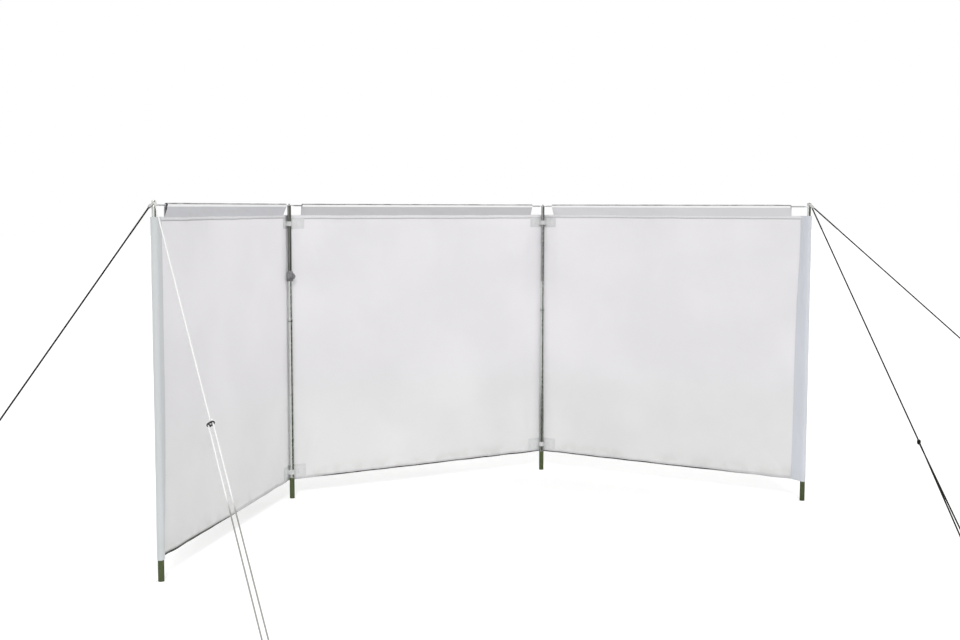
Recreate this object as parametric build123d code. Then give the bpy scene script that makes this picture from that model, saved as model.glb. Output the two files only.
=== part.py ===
"""Three-panel beach windbreak, pitched: cloth on four telescopic poles, ridge rods and four guys.

Millimetres and degrees. +Z is up and the ground is z = 0. The middle panel runs along X, the
sheltered (lee) side is -Y, the wind comes from +Y, and both wings fold towards the lee side.
"""

from build123d import *
import math
import os

# Layout
panel_pitch = 1500.0  # from one pole to the next
left_fold = 48.9  # turn of the left wing out of the middle panel's plane
right_fold = 59.8  # turn of the right wing
ridge_height = 1490.0  # axis of the ridge rods above the ground
hem_height = 104.0  # lower edge of the cloth above the ground

# Cloth
cloth = 0.6  # thickness of the coated cloth
ridge_sleeve_drop = 48.0  # from the rod's axis down to the seam of the ridge sleeve
pole_sleeve_reach = 55.0  # from the end pole's axis in to the seam of its sleeve
end_cutback = 100.0  # the ridge sleeve stops this far from an end pole
inner_cutback = 74.0  # and this far from an inner pole
sleeve_seam = 6.0  # how far the two layers of a sleeve are sewn together

# Patches and straps that hold the cloth to the inner poles
patch_half_width = 90.0
patch_height = 52.0
patch_thickness = 0.8
patch_top_inset = 17.0  # from the cloth's upper edge
patch_bottom_inset = 26.0  # from its lower edge
strap_width = 25.0
strap_thickness = 1.4
strap_root = 26.0  # where the strap leaves the patch, from the pole's axis
strap_tail = 30.0  # length of strap sewn flat on the patch
strap_steps = 12  # straight runs that follow the round of the pole

# Poles: three tubes, each sliding in the one below
tube_wall = 1.2
slide_clearance = 0.3
lower_tube_diameter = 25.0
lower_tube_drop = 570.0  # from the ridge axis down to the mouth of the lower tube
middle_tube_drops = [390.0, 354.0, 420.0, 390.0]  # and to each middle tube's mouth
tube_overlap = 120.0
bead_proud = 1.3  # rolled rim at the mouth of a tube
bead_height = 6.0
bead_slope = 1.8
foot_plug = 25.0  # solid length of the driven end, at the ground
pin_diameter = 8.0
pin_height = 9.0  # of the inner poles' pins above the ridge axis
guy_pin_height = 20.0  # and of the outer poles' pins, which hold the guys too
pin_plug = 25.0

# Ridge rods
rod_diameter = 16.0
rod_bar_diameter = 7.0
rod_cover = 25.0  # length of rod tube hidden past the sleeve's mouth, before the bar starts
button_hole = 5.0  # locking hole of the telescopic rod
eye_radius = 9.0
eye_thickness = 3.0
eye_neck = 20.0  # flattened length of bar, from the pin's axis
eye_overlap = 6.0  # of the flattened length with the round bar

# Tube clamp on pole 2
clamp_diameter = 34.0
clamp_height = 52.0
clamp_ear_thickness = 10.0
clamp_ear_height = 30.0
clamp_ear_edge = 7.0  # from the bolt's axis to the ears' tips
clamp_gap = 3.0  # slot between the ears
clamp_bolt_diameter = 5.0
clamp_knob_diameter = 26.0
clamp_knob_length = 15.0
clamp_nut_diameter = 14.0
clamp_nut_length = 5.0
clamp_turn = 18.0  # of the ears towards the left wing, from the middle of the fold

# Guys: cord, runner and peg
cord_diameter = 4.0
loop_gap = 22.0  # between the two strands below the runner
runner_length = 34.0
runner_width = 16.0
runner_thickness = 6.0
runner_window = 6.0  # width and height of the slot between the two holes
knot_radius = 4.5
peg_leg = 11.0
peg_thickness = 2.0
peg_lean = 30.0
peg_length = 46.0  # out of the ground, along the peg
peg_tongue = 5.0
cord_height = 18.0  # of the cord's turn round the peg, above the ground
guys = {
    # name: (pole, turn from the wing's line, run on the ground, runner's place, loop's height,
    #        runner's turn about its cord)
    "left_windward": (1, -45.0, 1095.0, 0.58, 8.0, 0.0),
    "left_lee": (1, 44.0, 1095.0, 0.5305, 15.5, 60.0),
    "right_windward": (4, 35.0, 1750.0, 0.56, 8.0, 0.0),
    "right_lee": (4, -41.0, 1290.0, 0.703, 15.5, -55.0),
}

# Sizes that follow from those above
panel_top = ridge_height - ridge_sleeve_drop
lower_tube_top = ridge_height - lower_tube_drop
pole_joints = [ridge_height - drop for drop in middle_tube_drops]
shoulder = ridge_height - eye_thickness  # top of the top tube, where the rods' eyes rest
middle_tube_diameter = lower_tube_diameter - 2 * (tube_wall + slide_clearance)
top_tube_diameter = middle_tube_diameter - 2 * (tube_wall + slide_clearance)
rim_radius = lower_tube_diameter / 2 + bead_proud
patched_radius = lower_tube_diameter / 2 + patch_thickness
bend_clearance = max(rim_radius, patched_radius, clamp_diameter / 2) + slide_clearance + cloth / 2
bend_reach = patch_half_width + 10.0  # the cloth bends behind a pole over this length each side

sides = ["left", "middle", "right"]
parts = {}


def heading(angle):
    """Unit vector in plan, anticlockwise from +X."""
    return Vector(math.cos(math.radians(angle)), math.sin(math.radians(angle)), 0)


def angle_of(direction):
    return math.degrees(math.atan2(direction.Y, direction.X))


def left_of(direction):
    return Vector(-direction.Y, direction.X, 0)


def up(height):
    return Vector(0, 0, height)


directions = [heading(left_fold), heading(0), heading(-right_fold)]
pole_2 = Vector(-panel_pitch / 2, 0, 0)
pole_3 = Vector(panel_pitch / 2, 0, 0)
poles = [pole_2 - directions[0] * panel_pitch, pole_2, pole_3, pole_3 + directions[2] * panel_pitch]


def offset_path(path, distance):
    """The path moved sideways to its left by a distance, with mitred corners."""
    normals = [left_of((b - a).normalized()) for a, b in zip(path, path[1:])]
    moved = [path[0] + normals[0] * distance]
    for point, before, after in zip(path[1:], normals, normals[1:]):
        moved.append(point + (before + after) * (distance / (1 + before.dot(after))))
    return moved + [path[-1] + normals[-1] * distance]


def upright_strip(path, near, far, bottom, top, first=0, last=None):
    """A strip standing on edge between two offsets of a path in plan, or of a stretch of it."""
    near_side = offset_path(path, near)[first:last]
    far_side = offset_path(path, far)[first:last]
    outline = make_face(Polyline(*near_side, *reversed(far_side), close=True))
    return extrude(Pos(0, 0, bottom) * outline, amount=top - bottom, dir=(0, 0, 1))


# Cloth in plan: straight from pole to pole, and bent outwards behind the inner poles
def outward(index):
    """The direction that splits the corner at an inner pole, towards the wind."""
    return (left_of(directions[index - 1]) + left_of(directions[index])).normalized()


def bend_points(index):
    """Where the cloth leaves the panel's plane, its corner behind the pole, and where it returns."""
    before, after = directions[index - 1], directions[index]
    half_fold = math.acos(left_of(after).dot(outward(index)))
    slant = math.asin(bend_clearance / bend_reach)
    depth = bend_clearance / math.cos(half_fold + slant)
    pole = poles[index]
    return [pole - before * bend_reach, pole + outward(index) * depth, pole + after * bend_reach]


def make_panels():
    path = [poles[0] + directions[0] * pole_sleeve_reach, *bend_points(1), *bend_points(2)]
    path.append(poles[3] - directions[2] * pole_sleeve_reach)
    stretches = [(0, 3), (2, 6), (5, 8)]
    for side, (first, last) in zip(sides, stretches):
        panel = upright_strip(path, -cloth / 2, cloth / 2, hem_height, panel_top, first, last)
        parts[f"fabric_panel_{side}"] = panel


# Sleeves
def teardrop(radius, reach, tip):
    """A circle at the origin drawn out to a flat end of half width tip at x = reach."""
    turn = math.atan2(tip, reach) + math.acos(radius / math.hypot(reach, tip))
    x, y = radius * math.cos(turn), radius * math.sin(turn)
    flanks = Polyline((x, y), (reach, tip), (reach, -tip), (x, -y))
    return make_face([*flanks.edges(), ThreePointArc((x, -y), (-radius, 0), (x, y))])


def sleeve_section(inner_radius, reach):
    return teardrop(inner_radius + cloth, reach, cloth) - teardrop(
        inner_radius, reach - sleeve_seam, cloth / 4
    )


def cutbacks(index):
    """How far a ridge sleeve stops from the pole at its start and at its end."""
    start = end_cutback if index == 0 else inner_cutback
    end = end_cutback if index == 2 else inner_cutback
    return start, end


def ridge_sleeve(index):
    start, end = cutbacks(index)
    mouth = poles[index] + directions[index] * start + up(ridge_height)
    plane = Plane(origin=mouth, x_dir=(0, 0, -1), z_dir=directions[index])
    section = sleeve_section(rod_diameter / 2 + slide_clearance, ridge_sleeve_drop)
    return extrude(plane * section, amount=panel_pitch - start - end)


def pole_sleeve(pole, inwards):
    plane = Plane(origin=pole + up(hem_height), x_dir=inwards, z_dir=(0, 0, 1))
    section = sleeve_section(rim_radius + slide_clearance, pole_sleeve_reach)
    return extrude(plane * section, amount=panel_top - hem_height)


# Ridge rods: a tube with a thinner bar at each end, flattened to an eye over the pole's pin
def rod_end(pole, along, reach, level):
    """The bar, neck and eye at one pole; along points from the pole's pin into the rod."""
    bar_start = eye_neck - eye_overlap
    bar_plane = Plane(origin=pole + along * bar_start + up(ridge_height), z_dir=along)
    bar = extrude(bar_plane * Circle(rod_bar_diameter / 2), amount=reach - bar_start)
    flat = Plane(origin=pole + up(level), x_dir=along, z_dir=(0, 0, 1))
    neck = Pos(eye_neck / 2, 0) * Rectangle(eye_neck, eye_radius)
    hole = Circle(pin_diameter / 2 + slide_clearance)
    return bar + extrude(flat * (Circle(eye_radius) + neck - hole), amount=eye_thickness)


def ridge_rod(index):
    along = directions[index]
    start, end = (cutback + rod_cover for cutback in cutbacks(index))
    length = panel_pitch - start - end
    mouth = Plane(origin=poles[index] + along * start + up(ridge_height), z_dir=along)
    tube = extrude(mouth * Circle(rod_diameter / 2), amount=length)
    bore = Pos(0, 0, length / 2) * Cylinder(rod_diameter / 2 - tube_wall, length - 2 * pin_plug)
    button = Pos(0, 0, length / 2) * Rot(0, 90, 0) * Cylinder(button_hole / 2, rod_diameter)
    tube -= mouth * (bore + button)
    level = ridge_height if index == 1 else shoulder
    tube += rod_end(poles[index], along, start, level)
    return tube + rod_end(poles[index + 1], -along, end, level)


# Poles
def turned(pole, profile):
    """A solid of revolution about a pole's axis, from (radius, height) points."""
    outline = make_face(Polyline(*[(radius, 0, height) for radius, height in profile], close=True))
    return Pos(pole) * revolve(outline, Axis.Z)


def beaded_tube(pole, diameter, bottom, top, plug=0.0):
    """A tube with a rolled rim at its mouth and, at the foot of a pole, a solid driven end."""
    outer = diameter / 2
    inner, rim = outer - tube_wall, outer + bead_proud
    profile = [(outer, bottom), (outer, top - bead_height), (rim, top - bead_height + bead_slope)]
    profile += [(rim, top - bead_slope), (outer, top), (inner, top)]
    if plug:
        profile += [(inner, bottom + plug), (0, bottom + plug), (0, bottom)]
    else:
        profile += [(inner, bottom)]
    return turned(pole, profile)


def top_tube(pole, bottom, tip):
    """The top tube, closed by a plug with the pin that takes the rods' eyes and the guys."""
    outer, pin = top_tube_diameter / 2, pin_diameter / 2
    inner = outer - tube_wall
    profile = [(inner, bottom), (outer, bottom), (outer, shoulder), (pin, shoulder)]
    profile += [(pin, tip - pin / 2), (pin / 2, tip), (0, tip)]
    profile += [(0, shoulder - pin_plug), (inner, shoulder - pin_plug)]
    return turned(pole, profile)


def clamp_and_knob(pole, joint, front):
    """A split collar over the mouth of the middle tube, drawn tight by a knob through its ears."""
    seat = Plane(origin=pole + up(joint), x_dir=front, z_dir=(0, 0, 1))
    ears_across = clamp_gap + 2 * clamp_ear_thickness
    ears_leave = math.sqrt(clamp_diameter**2 - ears_across**2) / 2
    bolt_place = ears_leave + clamp_knob_diameter / 2 + slide_clearance
    ear_reach = bolt_place + clamp_ear_edge
    ears = Pos(ear_reach / 2, 0, 0) * Box(ear_reach, ears_across, clamp_ear_height)
    body = Cylinder(clamp_diameter / 2, clamp_height) + ears
    rim_bore = middle_tube_diameter / 2 + bead_proud + slide_clearance
    body -= Pos(0, 0, slide_clearance - clamp_height / 2) * Cylinder(rim_bore, clamp_height)
    body -= Cylinder(top_tube_diameter / 2 + slide_clearance, clamp_height)
    body -= Pos(ear_reach / 2, 0, 0) * Box(ear_reach, clamp_gap, clamp_height)
    across = Pos(bolt_place, 0, 0) * Rot(90, 0, 0)
    body -= across * Cylinder(clamp_bolt_diameter / 2 + slide_clearance, ears_across)
    knob = across * Cylinder(clamp_bolt_diameter / 2, ears_across)
    head = Pos(0, 0, (ears_across + clamp_knob_length) / 2)
    nut = Pos(0, 0, -(ears_across + clamp_nut_length) / 2)
    knob += across * head * Cylinder(clamp_knob_diameter / 2, clamp_knob_length)
    knob += across * nut * Cylinder(clamp_nut_diameter / 2, clamp_nut_length)
    return seat * body, seat * knob


def make_poles():
    for number, (pole, joint) in enumerate(zip(poles, pole_joints), start=1):
        name = f"pole_{number}"
        middle_bottom = lower_tube_top - tube_overlap
        parts[f"{name}_lower_tube"] = beaded_tube(
            pole, lower_tube_diameter, 0, lower_tube_top, foot_plug
        )
        parts[f"{name}_middle_tube"] = beaded_tube(pole, middle_tube_diameter, middle_bottom, joint)
        tip = ridge_height + (guy_pin_height if number in (1, 4) else pin_height)
        parts[f"{name}_top_tube"] = top_tube(pole, joint - tube_overlap, tip)
    front = heading(angle_of(-outward(1)) - clamp_turn)
    clamp, knob = clamp_and_knob(poles[1], pole_joints[1], front)
    parts["pole_2_clamp"], parts["pole_2_clamp_knob"] = clamp, knob


# Patches sewn on the cloth, and straps from them round the inner poles
def patch(index, bottom):
    before, corner, after = bend_points(index)
    left = corner + (before - corner).normalized() * patch_half_width
    right = corner + (after - corner).normalized() * patch_half_width
    face = -cloth / 2
    path = [left, corner, right]
    return upright_strip(path, face - patch_thickness, face, bottom, bottom + patch_height)


def strap_leg(pole, corner, end):
    """Centre line of the strap on one half of the patch: its sewn end and where it lifts off."""
    along = (end - corner).normalized()
    inward = left_of(along)
    if inward.dot(pole - corner) < 0:
        inward = -inward
    start = corner + inward * (cloth / 2 + patch_thickness + strap_thickness / 2)
    nearest = start + along * along.dot(pole - start)
    lift = nearest + along * math.sqrt(strap_root**2 - (nearest - pole).length ** 2)
    return lift + along * strap_tail, lift


def strap(index, pole_diameter, middle):
    pole = poles[index]
    before, corner, after = bend_points(index)
    left_end, left_lift = strap_leg(pole, corner, before)
    right_end, right_lift = strap_leg(pole, corner, after)
    radius = pole_diameter / 2 + slide_clearance + strap_thickness / 2
    front = -outward(index)
    tangent_turn = math.degrees(math.acos(radius / strap_root))
    left_angle = angle_of(front) - ((left_lift - pole).get_angle(front) - tangent_turn)
    right_angle = angle_of(front) + ((right_lift - pole).get_angle(front) - tangent_turn)
    step = (right_angle - left_angle) / strap_steps
    wrap = [pole + heading(left_angle + step * i) * radius for i in range(strap_steps + 1)]
    path = [left_end, left_lift, *wrap, right_lift, right_end]
    half = strap_thickness / 2
    return upright_strip(path, -half, half, middle - strap_width / 2, middle + strap_width / 2)


def make_patches():
    for index in (1, 2):
        for level, bottom, diameter in (
            ("top", panel_top - patch_top_inset - patch_height, top_tube_diameter),
            ("bottom", hem_height + patch_bottom_inset, lower_tube_diameter),
        ):
            name = f"pole_{index + 1}_{level}"
            parts[f"{name}_patch"] = patch(index, bottom)
            parts[f"{name}_strap"] = strap(index, diameter, bottom + patch_height / 2)


# Guys
def strand(start, end):
    """A straight run of cord."""
    run = end - start
    return extrude(Plane(origin=start, z_dir=run) * Circle(cord_diameter / 2), amount=run.length)


def guy_cord(ring, start, runner, turn, down, runner_side, side):
    """From the loop on the pin through the runner, round the peg and back to a knot."""
    radius = cord_diameter / 2
    half_gap = side * (loop_gap / 2)
    hole = runner_side * (loop_gap / 2)
    knot = runner + hole - down * (runner_thickness / 2 + knot_radius + slide_clearance)
    far = turn + down * (loop_gap / 2)
    strands = strand(start, runner - hole) + strand(runner - hole, turn - half_gap)
    strands += strand(knot, turn + half_gap)
    peg_turn = ThreePointArc(turn - half_gap, far, turn + half_gap)
    strands += sweep(Plane(origin=turn - half_gap, z_dir=down) * Circle(radius), path=peg_turn)
    for corner in (runner - hole, turn - half_gap, turn + half_gap):
        strands += Pos(corner) * Sphere(radius * 1.05)
    return strands + Pos(ring) * Torus((start - ring).length, radius) + Pos(knot) * Sphere(knot_radius)


def guy_runner(centre, down, side):
    seat = Plane(origin=centre, x_dir=side, z_dir=down)
    outline = SlotOverall(runner_length, runner_width) - Rectangle(runner_window, runner_window)
    hole = Circle(cord_diameter / 2 + slide_clearance)
    outline -= Pos(loop_gap / 2, 0) * hole
    outline -= Pos(-loop_gap / 2, 0) * hole
    return extrude(seat * outline, amount=runner_thickness / 2, both=True)


def guy_peg(turn, out, side, down):
    """Angle iron leaning away from the pole, cut at the ground, with a tongue over the cord."""
    lean = out * math.sin(math.radians(peg_lean)) + up(math.cos(math.radians(peg_lean)))
    cord_top = lean.dot(down) * (loop_gap / 2) + cord_diameter / 2
    below = turn.Z / math.cos(math.radians(peg_lean))
    corner = peg_leg / math.sqrt(2)
    angle_iron = Polyline(
        (0, 0), (peg_leg, 0), (peg_leg, peg_thickness), (peg_thickness, peg_thickness),
        (peg_thickness, peg_leg), (0, peg_leg), close=True,
    )
    section = Pos(0, -corner) * Rot(0, 0, 45) * make_face(angle_iron)
    axis = Plane(origin=turn, x_dir=side, z_dir=lean)
    peg = extrude(axis * Pos(0, 0, -2 * below) * section, amount=below + peg_length)
    tongue_centre = Pos(
        0, -corner - peg_tongue / 2 + peg_thickness, cord_top + slide_clearance + peg_tongue / 2
    )
    peg += axis * tongue_centre * Box(peg_thickness * 2, peg_tongue, peg_tongue)
    reach = 4 * peg_length
    return peg & Pos(turn.X, turn.Y, reach / 2) * Box(reach, reach, reach)


def make_guys():
    for name, (number, turn_angle, run, share, loop_height, runner_turn) in guys.items():
        pole = poles[number - 1]
        wing = -directions[0] if number == 1 else directions[2]
        out = heading(angle_of(wing) + turn_angle)
        side = left_of(out)
        ring = pole + up(ridge_height + loop_height)
        start = ring + out * ((pin_diameter + cord_diameter) / 2 + slide_clearance)
        turn = pole + out * run + up(cord_height)
        down = (turn - start).normalized()
        runner = start + (turn - start) * share
        angle = math.radians(runner_turn)
        runner_side = side * math.cos(angle) + down.cross(side) * math.sin(angle)
        parts[f"guy_line_{name}"] = guy_cord(ring, start, runner, turn, down, runner_side, side)
        parts[f"guy_runner_{name}"] = guy_runner(runner, down, runner_side)
        parts[f"guy_peg_{name}"] = guy_peg(turn, out, side, down)


make_panels()
for index, side in enumerate(sides):
    parts[f"ridge_sleeve_{side}"] = ridge_sleeve(index)
    parts[f"ridge_rod_{side}"] = ridge_rod(index)
parts["end_sleeve_left"] = pole_sleeve(poles[0], directions[0])
parts["end_sleeve_right"] = pole_sleeve(poles[3], -directions[2])
make_poles()
make_patches()
make_guys()

# The origin is the middle of the whole object's plan, at the ground
box = Compound(children=[part.solid() for part in parts.values()]).bounding_box()
to_origin = Pos(-(box.min.X + box.max.X) / 2, -(box.min.Y + box.max.Y) / 2, 0)
os.makedirs("parts", exist_ok=True)
for name, part in parts.items():
    export_step(to_origin * part, f"parts/{name}.step")

print("size", box.size, "moved by", to_origin.position)
for number, pole in enumerate(poles, start=1):
    print("pole", number, to_origin.position + pole)
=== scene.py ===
"""Beach windbreak: three bays of coated cloth on four telescopic poles, pitched with four guys.

Metres, +Z up. The sheltered (lee) side is -Y and the wind comes from +Y. A place on the cloth is
given as (along, height): along runs round the cloth from the axis of pole 1 to that of pole 4.
"""

import math

import bmesh
import bpy
import numpy as np
from mathutils import Matrix, Vector


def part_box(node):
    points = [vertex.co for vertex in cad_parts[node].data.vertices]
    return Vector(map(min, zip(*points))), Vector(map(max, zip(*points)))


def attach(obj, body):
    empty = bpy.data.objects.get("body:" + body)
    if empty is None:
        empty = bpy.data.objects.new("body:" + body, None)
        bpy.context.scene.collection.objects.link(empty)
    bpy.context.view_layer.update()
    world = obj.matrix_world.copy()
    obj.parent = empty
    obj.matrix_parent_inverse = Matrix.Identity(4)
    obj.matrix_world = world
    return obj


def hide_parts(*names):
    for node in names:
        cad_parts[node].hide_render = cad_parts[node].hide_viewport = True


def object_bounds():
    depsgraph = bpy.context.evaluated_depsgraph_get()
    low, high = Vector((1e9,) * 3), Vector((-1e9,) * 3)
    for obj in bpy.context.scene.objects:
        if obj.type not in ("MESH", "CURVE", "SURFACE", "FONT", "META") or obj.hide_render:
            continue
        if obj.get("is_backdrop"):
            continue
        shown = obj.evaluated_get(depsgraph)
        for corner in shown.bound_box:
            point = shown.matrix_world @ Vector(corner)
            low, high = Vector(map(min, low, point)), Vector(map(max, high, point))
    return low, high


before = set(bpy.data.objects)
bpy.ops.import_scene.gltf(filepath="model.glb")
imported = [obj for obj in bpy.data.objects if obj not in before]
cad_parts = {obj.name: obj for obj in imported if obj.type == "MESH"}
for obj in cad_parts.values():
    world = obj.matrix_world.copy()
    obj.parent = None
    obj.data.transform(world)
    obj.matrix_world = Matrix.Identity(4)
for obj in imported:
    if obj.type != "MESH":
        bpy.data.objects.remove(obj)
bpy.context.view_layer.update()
MM = 0.001

# ---------------------------------------------------------------- sizes from the frame
SIDES = ("left", "middle", "right")


def middle_of(node):
    """The middle of a node's box."""
    low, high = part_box(node)
    return np.array((low + high) / 2)


def levels_of(node):
    """The lowest and highest z of a node."""
    return [float(corner.z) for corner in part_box(node)]


poles = [middle_of(f"pole_{number}_lower_tube")[:2] for number in (1, 2, 3, 4)]
ridge = float(middle_of("ridge_rod_middle")[2])  # axis of the ridge rods
hem, seam = levels_of("fabric_panel_middle")
lower_mouth = levels_of("pole_2_lower_tube")[1]
directions = [(b - a) / np.linalg.norm(b - a) for a, b in zip(poles, poles[1:])]
pitch = float(np.linalg.norm(poles[1] - poles[0]))


def left_of(direction):
    """The direction a quarter turn to the left."""
    return np.array([-direction[1], direction[0]])


winds = [left_of(direction) for direction in directions]

# ---------------------------------------------------------------- sizes of the making
BEND_RADIUS = 17.6 * MM  # of the cloth round the back of an inner pole
BEND_REACH = 100 * MM  # of that bend along the ridge rods, each side of the pole
TUNNEL_SEAM = 55 * MM  # from an end pole's axis
NARROWINGS = {  # of the end tunnels: heights, and how many millimetres they are taken in there
    0: ((0.12, 0.2, 0.28, 0.4, 0.56, 0.7), (34, 27, 18, 11, 4, 0)),
    2: ((0.1, 0.3, 0.77, 1.0, 1.1, 1.2, 1.3), (0, 4, 7, 10, 14, 18, 21)),
}
TUCKED = (35 * MM, 0.0, 22 * MM)  # of each bay's cloth that goes on into a taken-in tunnel
TUNNEL_DROPS = {  # of an end tunnel's foot: below the hem all round, and more round the pole
    0: (8 * MM, 10 * MM),
    2: (0.0, 6 * MM),
}
CLOTH = 0.6 * MM
CLOTH_LENGTH = 4.6  # of the cloth in all, a little over
CLOTH_STEPS = (11.5 * MM, 14.5 * MM)  # of the cloth's mesh, along and up
SLEEVE_STEP = 9.2 * MM  # of a ridge sleeve's mesh, lengthwise
TUNNEL_STEP = 10 * MM  # and of an end tunnel's
SEE_LIGHT = 0.5  # share of the light on the cloth that goes into it
THICK_LIGHT = 0.12  # and on the doubled cloth of the sleeves, tunnels, hems and patches
TINT_CHANGE = (0.75, 0.3)  # heights between which the cloth's upper tint and painted light give way to its lower
UPPER_TINT = (0.0, -0.004, 0.002)  # of its red, green and blue, off grey
LOWER_TINT = (0.0, 0.0, 0.0)
LEFT_HEM = 0.3  # stretch of the hem, from pole 1, where the hem's painted shade is darker and its painted dark lower edge reaches higher
FAINT_EDGE_STRETCH = (0.68, 1.62)  # stretch of the hem, along the cloth, where its painted dark lower edge is fainter
FAINT_EDGE_END = (4.0, 4.3)  # and where that edge grows fainter again
HEM_WIDTH = 13 * MM
BAND_WIDTHS = (11 * MM, 15.5 * MM, 11 * MM)  # bands that join the ridge sleeves to their bays
BAND_TOP = 1 * MM  # of the bands below the seam
GROOVE_DROP = 14 * MM  # of the groove below a band, from the seam
GROOVE_HALF = 2.6 * MM  # half of its width
MIDDLE_BAY = (1.509, 3.029)  # along the cloth
LINE_DROP = 4.5 * MM  # of the middle bay's line below the band, from the others' level
PATCH_HALF = 90 * MM
PATCH_THICKNESS = 0.8 * MM
STRAP_THICKNESS = 1.4 * MM
CORD_RADIUS = 3.4 * MM
PALE_RADIUS = 2.7 * MM  # of the pale cord
PLAIN_CORD = 2.0 * MM  # radius of the CAD cord, which its box is measured by
GUY_GAP = 22 * MM  # between the two strands below a runner
CORD_TURN = 17.2 * MM  # height of the cord's turn round a peg
TUBE_RADII = (12.5 * MM, 11.0 * MM, 9.5 * MM)  # lower, middle and top tube
TUBE_WALL = 1.2 * MM
RIM_PROUD = 1.3 * MM
ROD_RADIUS = 8 * MM
BAR_RADIUS = 3.5 * MM
EYE_RADIUS = 9 * MM
EYE_THICKNESS = 3 * MM
PIN_RADIUS = 4 * MM


# ---------------------------------------------------------------- small tools
def ease(low, high, value):
    """0 at low, 1 at high, smooth between and level beyond."""
    share = np.clip((value - low) / (high - low), 0, 1)
    return share * share * (3 - 2 * share)


class Waves:
    """Even, repeatable unevenness: a sum of waves of mixed lengths with an rms of 1."""

    def __init__(self, seed, count, shortest, longest):
        draw = np.random.default_rng(seed)
        self.lengths = np.exp(draw.uniform(math.log(shortest), math.log(longest), count))
        self.turns = draw.uniform(0, math.pi, count)
        self.starts = draw.uniform(0, 2 * math.pi, count)

    def along(self, place):
        total = sum(
            np.cos(2 * math.pi * place / length + start)
            for length, start in zip(self.lengths, self.starts)
        )
        return total / math.sqrt(len(self.lengths) / 2)

    def over(self, x, y):
        total = sum(
            np.cos(2 * math.pi * (x * math.cos(turn) + y * math.sin(turn)) / length + start)
            for length, turn, start in zip(self.lengths, self.turns, self.starts)
        )
        return total / math.sqrt(len(self.lengths) / 2)


def stations(start, end, step, fine, reach):
    """Places a step apart from start to end, fine apart within reach of either."""
    marks = [start]
    while marks[-1] < end - 0.1 * fine:
        room = min(marks[-1] - start, end - marks[-1])
        marks.append(marks[-1] + min(step, fine + max(0.0, room - reach) * 0.35))
    marks = np.array(marks)
    return start + (marks - start) * (end - start) / (marks[-1] - start)


class Shape:
    """Points, faces and map places gathered for one piece."""

    def __init__(self):
        self.points, self.faces, self.places, self.count = [], [], [], 0

    def add(self, points, faces, places=None):
        points = np.asarray(points, float).reshape(-1, 3)
        self.faces += [[int(i) + self.count for i in face] for face in faces]
        self.points.append(points)
        if places is None:
            places = points[:, :2]
        self.places.append(np.asarray(places, float).reshape(-1, 2))
        self.count += len(points)


def grid_faces(rows, columns, round_rows=False, round_columns=False):
    """Quads of a grid of points, closed in either direction where asked."""
    i = np.arange(rows if round_rows else rows - 1)
    j = np.arange(columns if round_columns else columns - 1)
    i, j = (a.ravel() for a in np.meshgrid(i, j, indexing="ij"))
    below, beside = (i + 1) % rows, (j + 1) % columns
    corners = (i * columns + j, i * columns + beside, below * columns + beside, below * columns + j)
    return np.stack(corners, -1)


def grid_normals(grid):
    """Directions square to a grid of points, one at each."""
    across = np.gradient(grid, axis=1)
    down = np.gradient(grid, axis=0)
    normal = np.cross(across, down)
    return normal / np.linalg.norm(normal, axis=-1, keepdims=True)


def add_sheet(shape, grid, half, places):
    """A grid of points given a thickness, closed all round its edge."""
    rows, columns = grid.shape[:2]
    normals = grid_normals(grid)
    points = np.concatenate(
        [(grid - normals * half).reshape(-1, 3), (grid + normals * half).reshape(-1, 3)]
    )
    near = grid_faces(rows, columns)
    far = near[:, ::-1] + rows * columns
    number = np.arange(rows * columns).reshape(rows, columns)
    edge = np.concatenate([number[0, :-1], number[:-1, -1], number[-1, :0:-1], number[:0:-1, 0]])
    following = np.roll(edge, -1)
    rim = np.stack([following, edge, edge + rows * columns, following + rows * columns], -1)
    flat = places.reshape(-1, 2)
    shape.add(points, [*near.tolist(), *far.tolist(), *rim.tolist()], np.concatenate([flat, flat]))


def add_loft(shape, rings, places=None):
    """A closed strip or bar through rings of points, capped at both ends."""
    rings = np.asarray(rings)
    count, around = rings.shape[:2]
    faces = grid_faces(count, around, round_columns=True).tolist()
    faces += [list(range(around))[::-1], [(count - 1) * around + i for i in range(around)]]
    shape.add(rings, faces, places)


def add_lathe(shape, profile, place, segments=48, lobes=None):
    """A closed (radius, height) profile turned about a line; place moves it where it belongs."""
    turn = np.linspace(0, 2 * math.pi, segments, endpoint=False)
    rings = []
    for index, (radius, height) in enumerate(profile):
        swell = 1 + (lobes[0][index] * np.cos(lobes[1] * turn) if lobes else 0)
        spread = radius * swell
        ring = [spread * np.cos(turn), spread * np.sin(turn), np.full(segments, height)]
        rings.append(np.stack(ring, -1))
    rings = np.array(rings)
    points = rings.reshape(-1, 3)
    closed = grid_faces(len(profile), segments, round_rows=True, round_columns=True).tolist()
    points = points @ np.array(place.to_3x3()).T + np.array(place.translation)
    places = np.stack([np.tile(turn, len(profile)), points[:, 2]], -1)
    shape.add(points, closed, places)


def lengths_along(points):
    """The length travelled at each point of a line."""
    steps = np.linalg.norm(np.diff(points, axis=0), axis=1)
    return np.concatenate([[0], np.cumsum(steps)])


def squared(swing, power):
    """A sine or cosine swollen towards a square."""
    return math.copysign(abs(swing) ** power, swing)


def mesh_of(name, shape):
    """A mesh of a shape's points and faces, as they are."""
    mesh = bpy.data.meshes.new(name)
    mesh.from_pydata(np.concatenate(shape.points).tolist(), [], shape.faces)
    return mesh


def clean_mesh(mesh, weld=0.0, thinnest=0.0):
    """Turns faces outwards, once points nearer than weld and edges below thinnest are gone."""
    builder = bmesh.new()
    builder.from_mesh(mesh)
    if weld:
        bmesh.ops.remove_doubles(builder, verts=builder.verts, dist=weld)
    if thinnest:
        bmesh.ops.dissolve_degenerate(builder, edges=builder.edges, dist=thinnest)
    bmesh.ops.recalc_face_normals(builder, faces=builder.faces)
    builder.to_mesh(mesh)
    builder.free()


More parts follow.
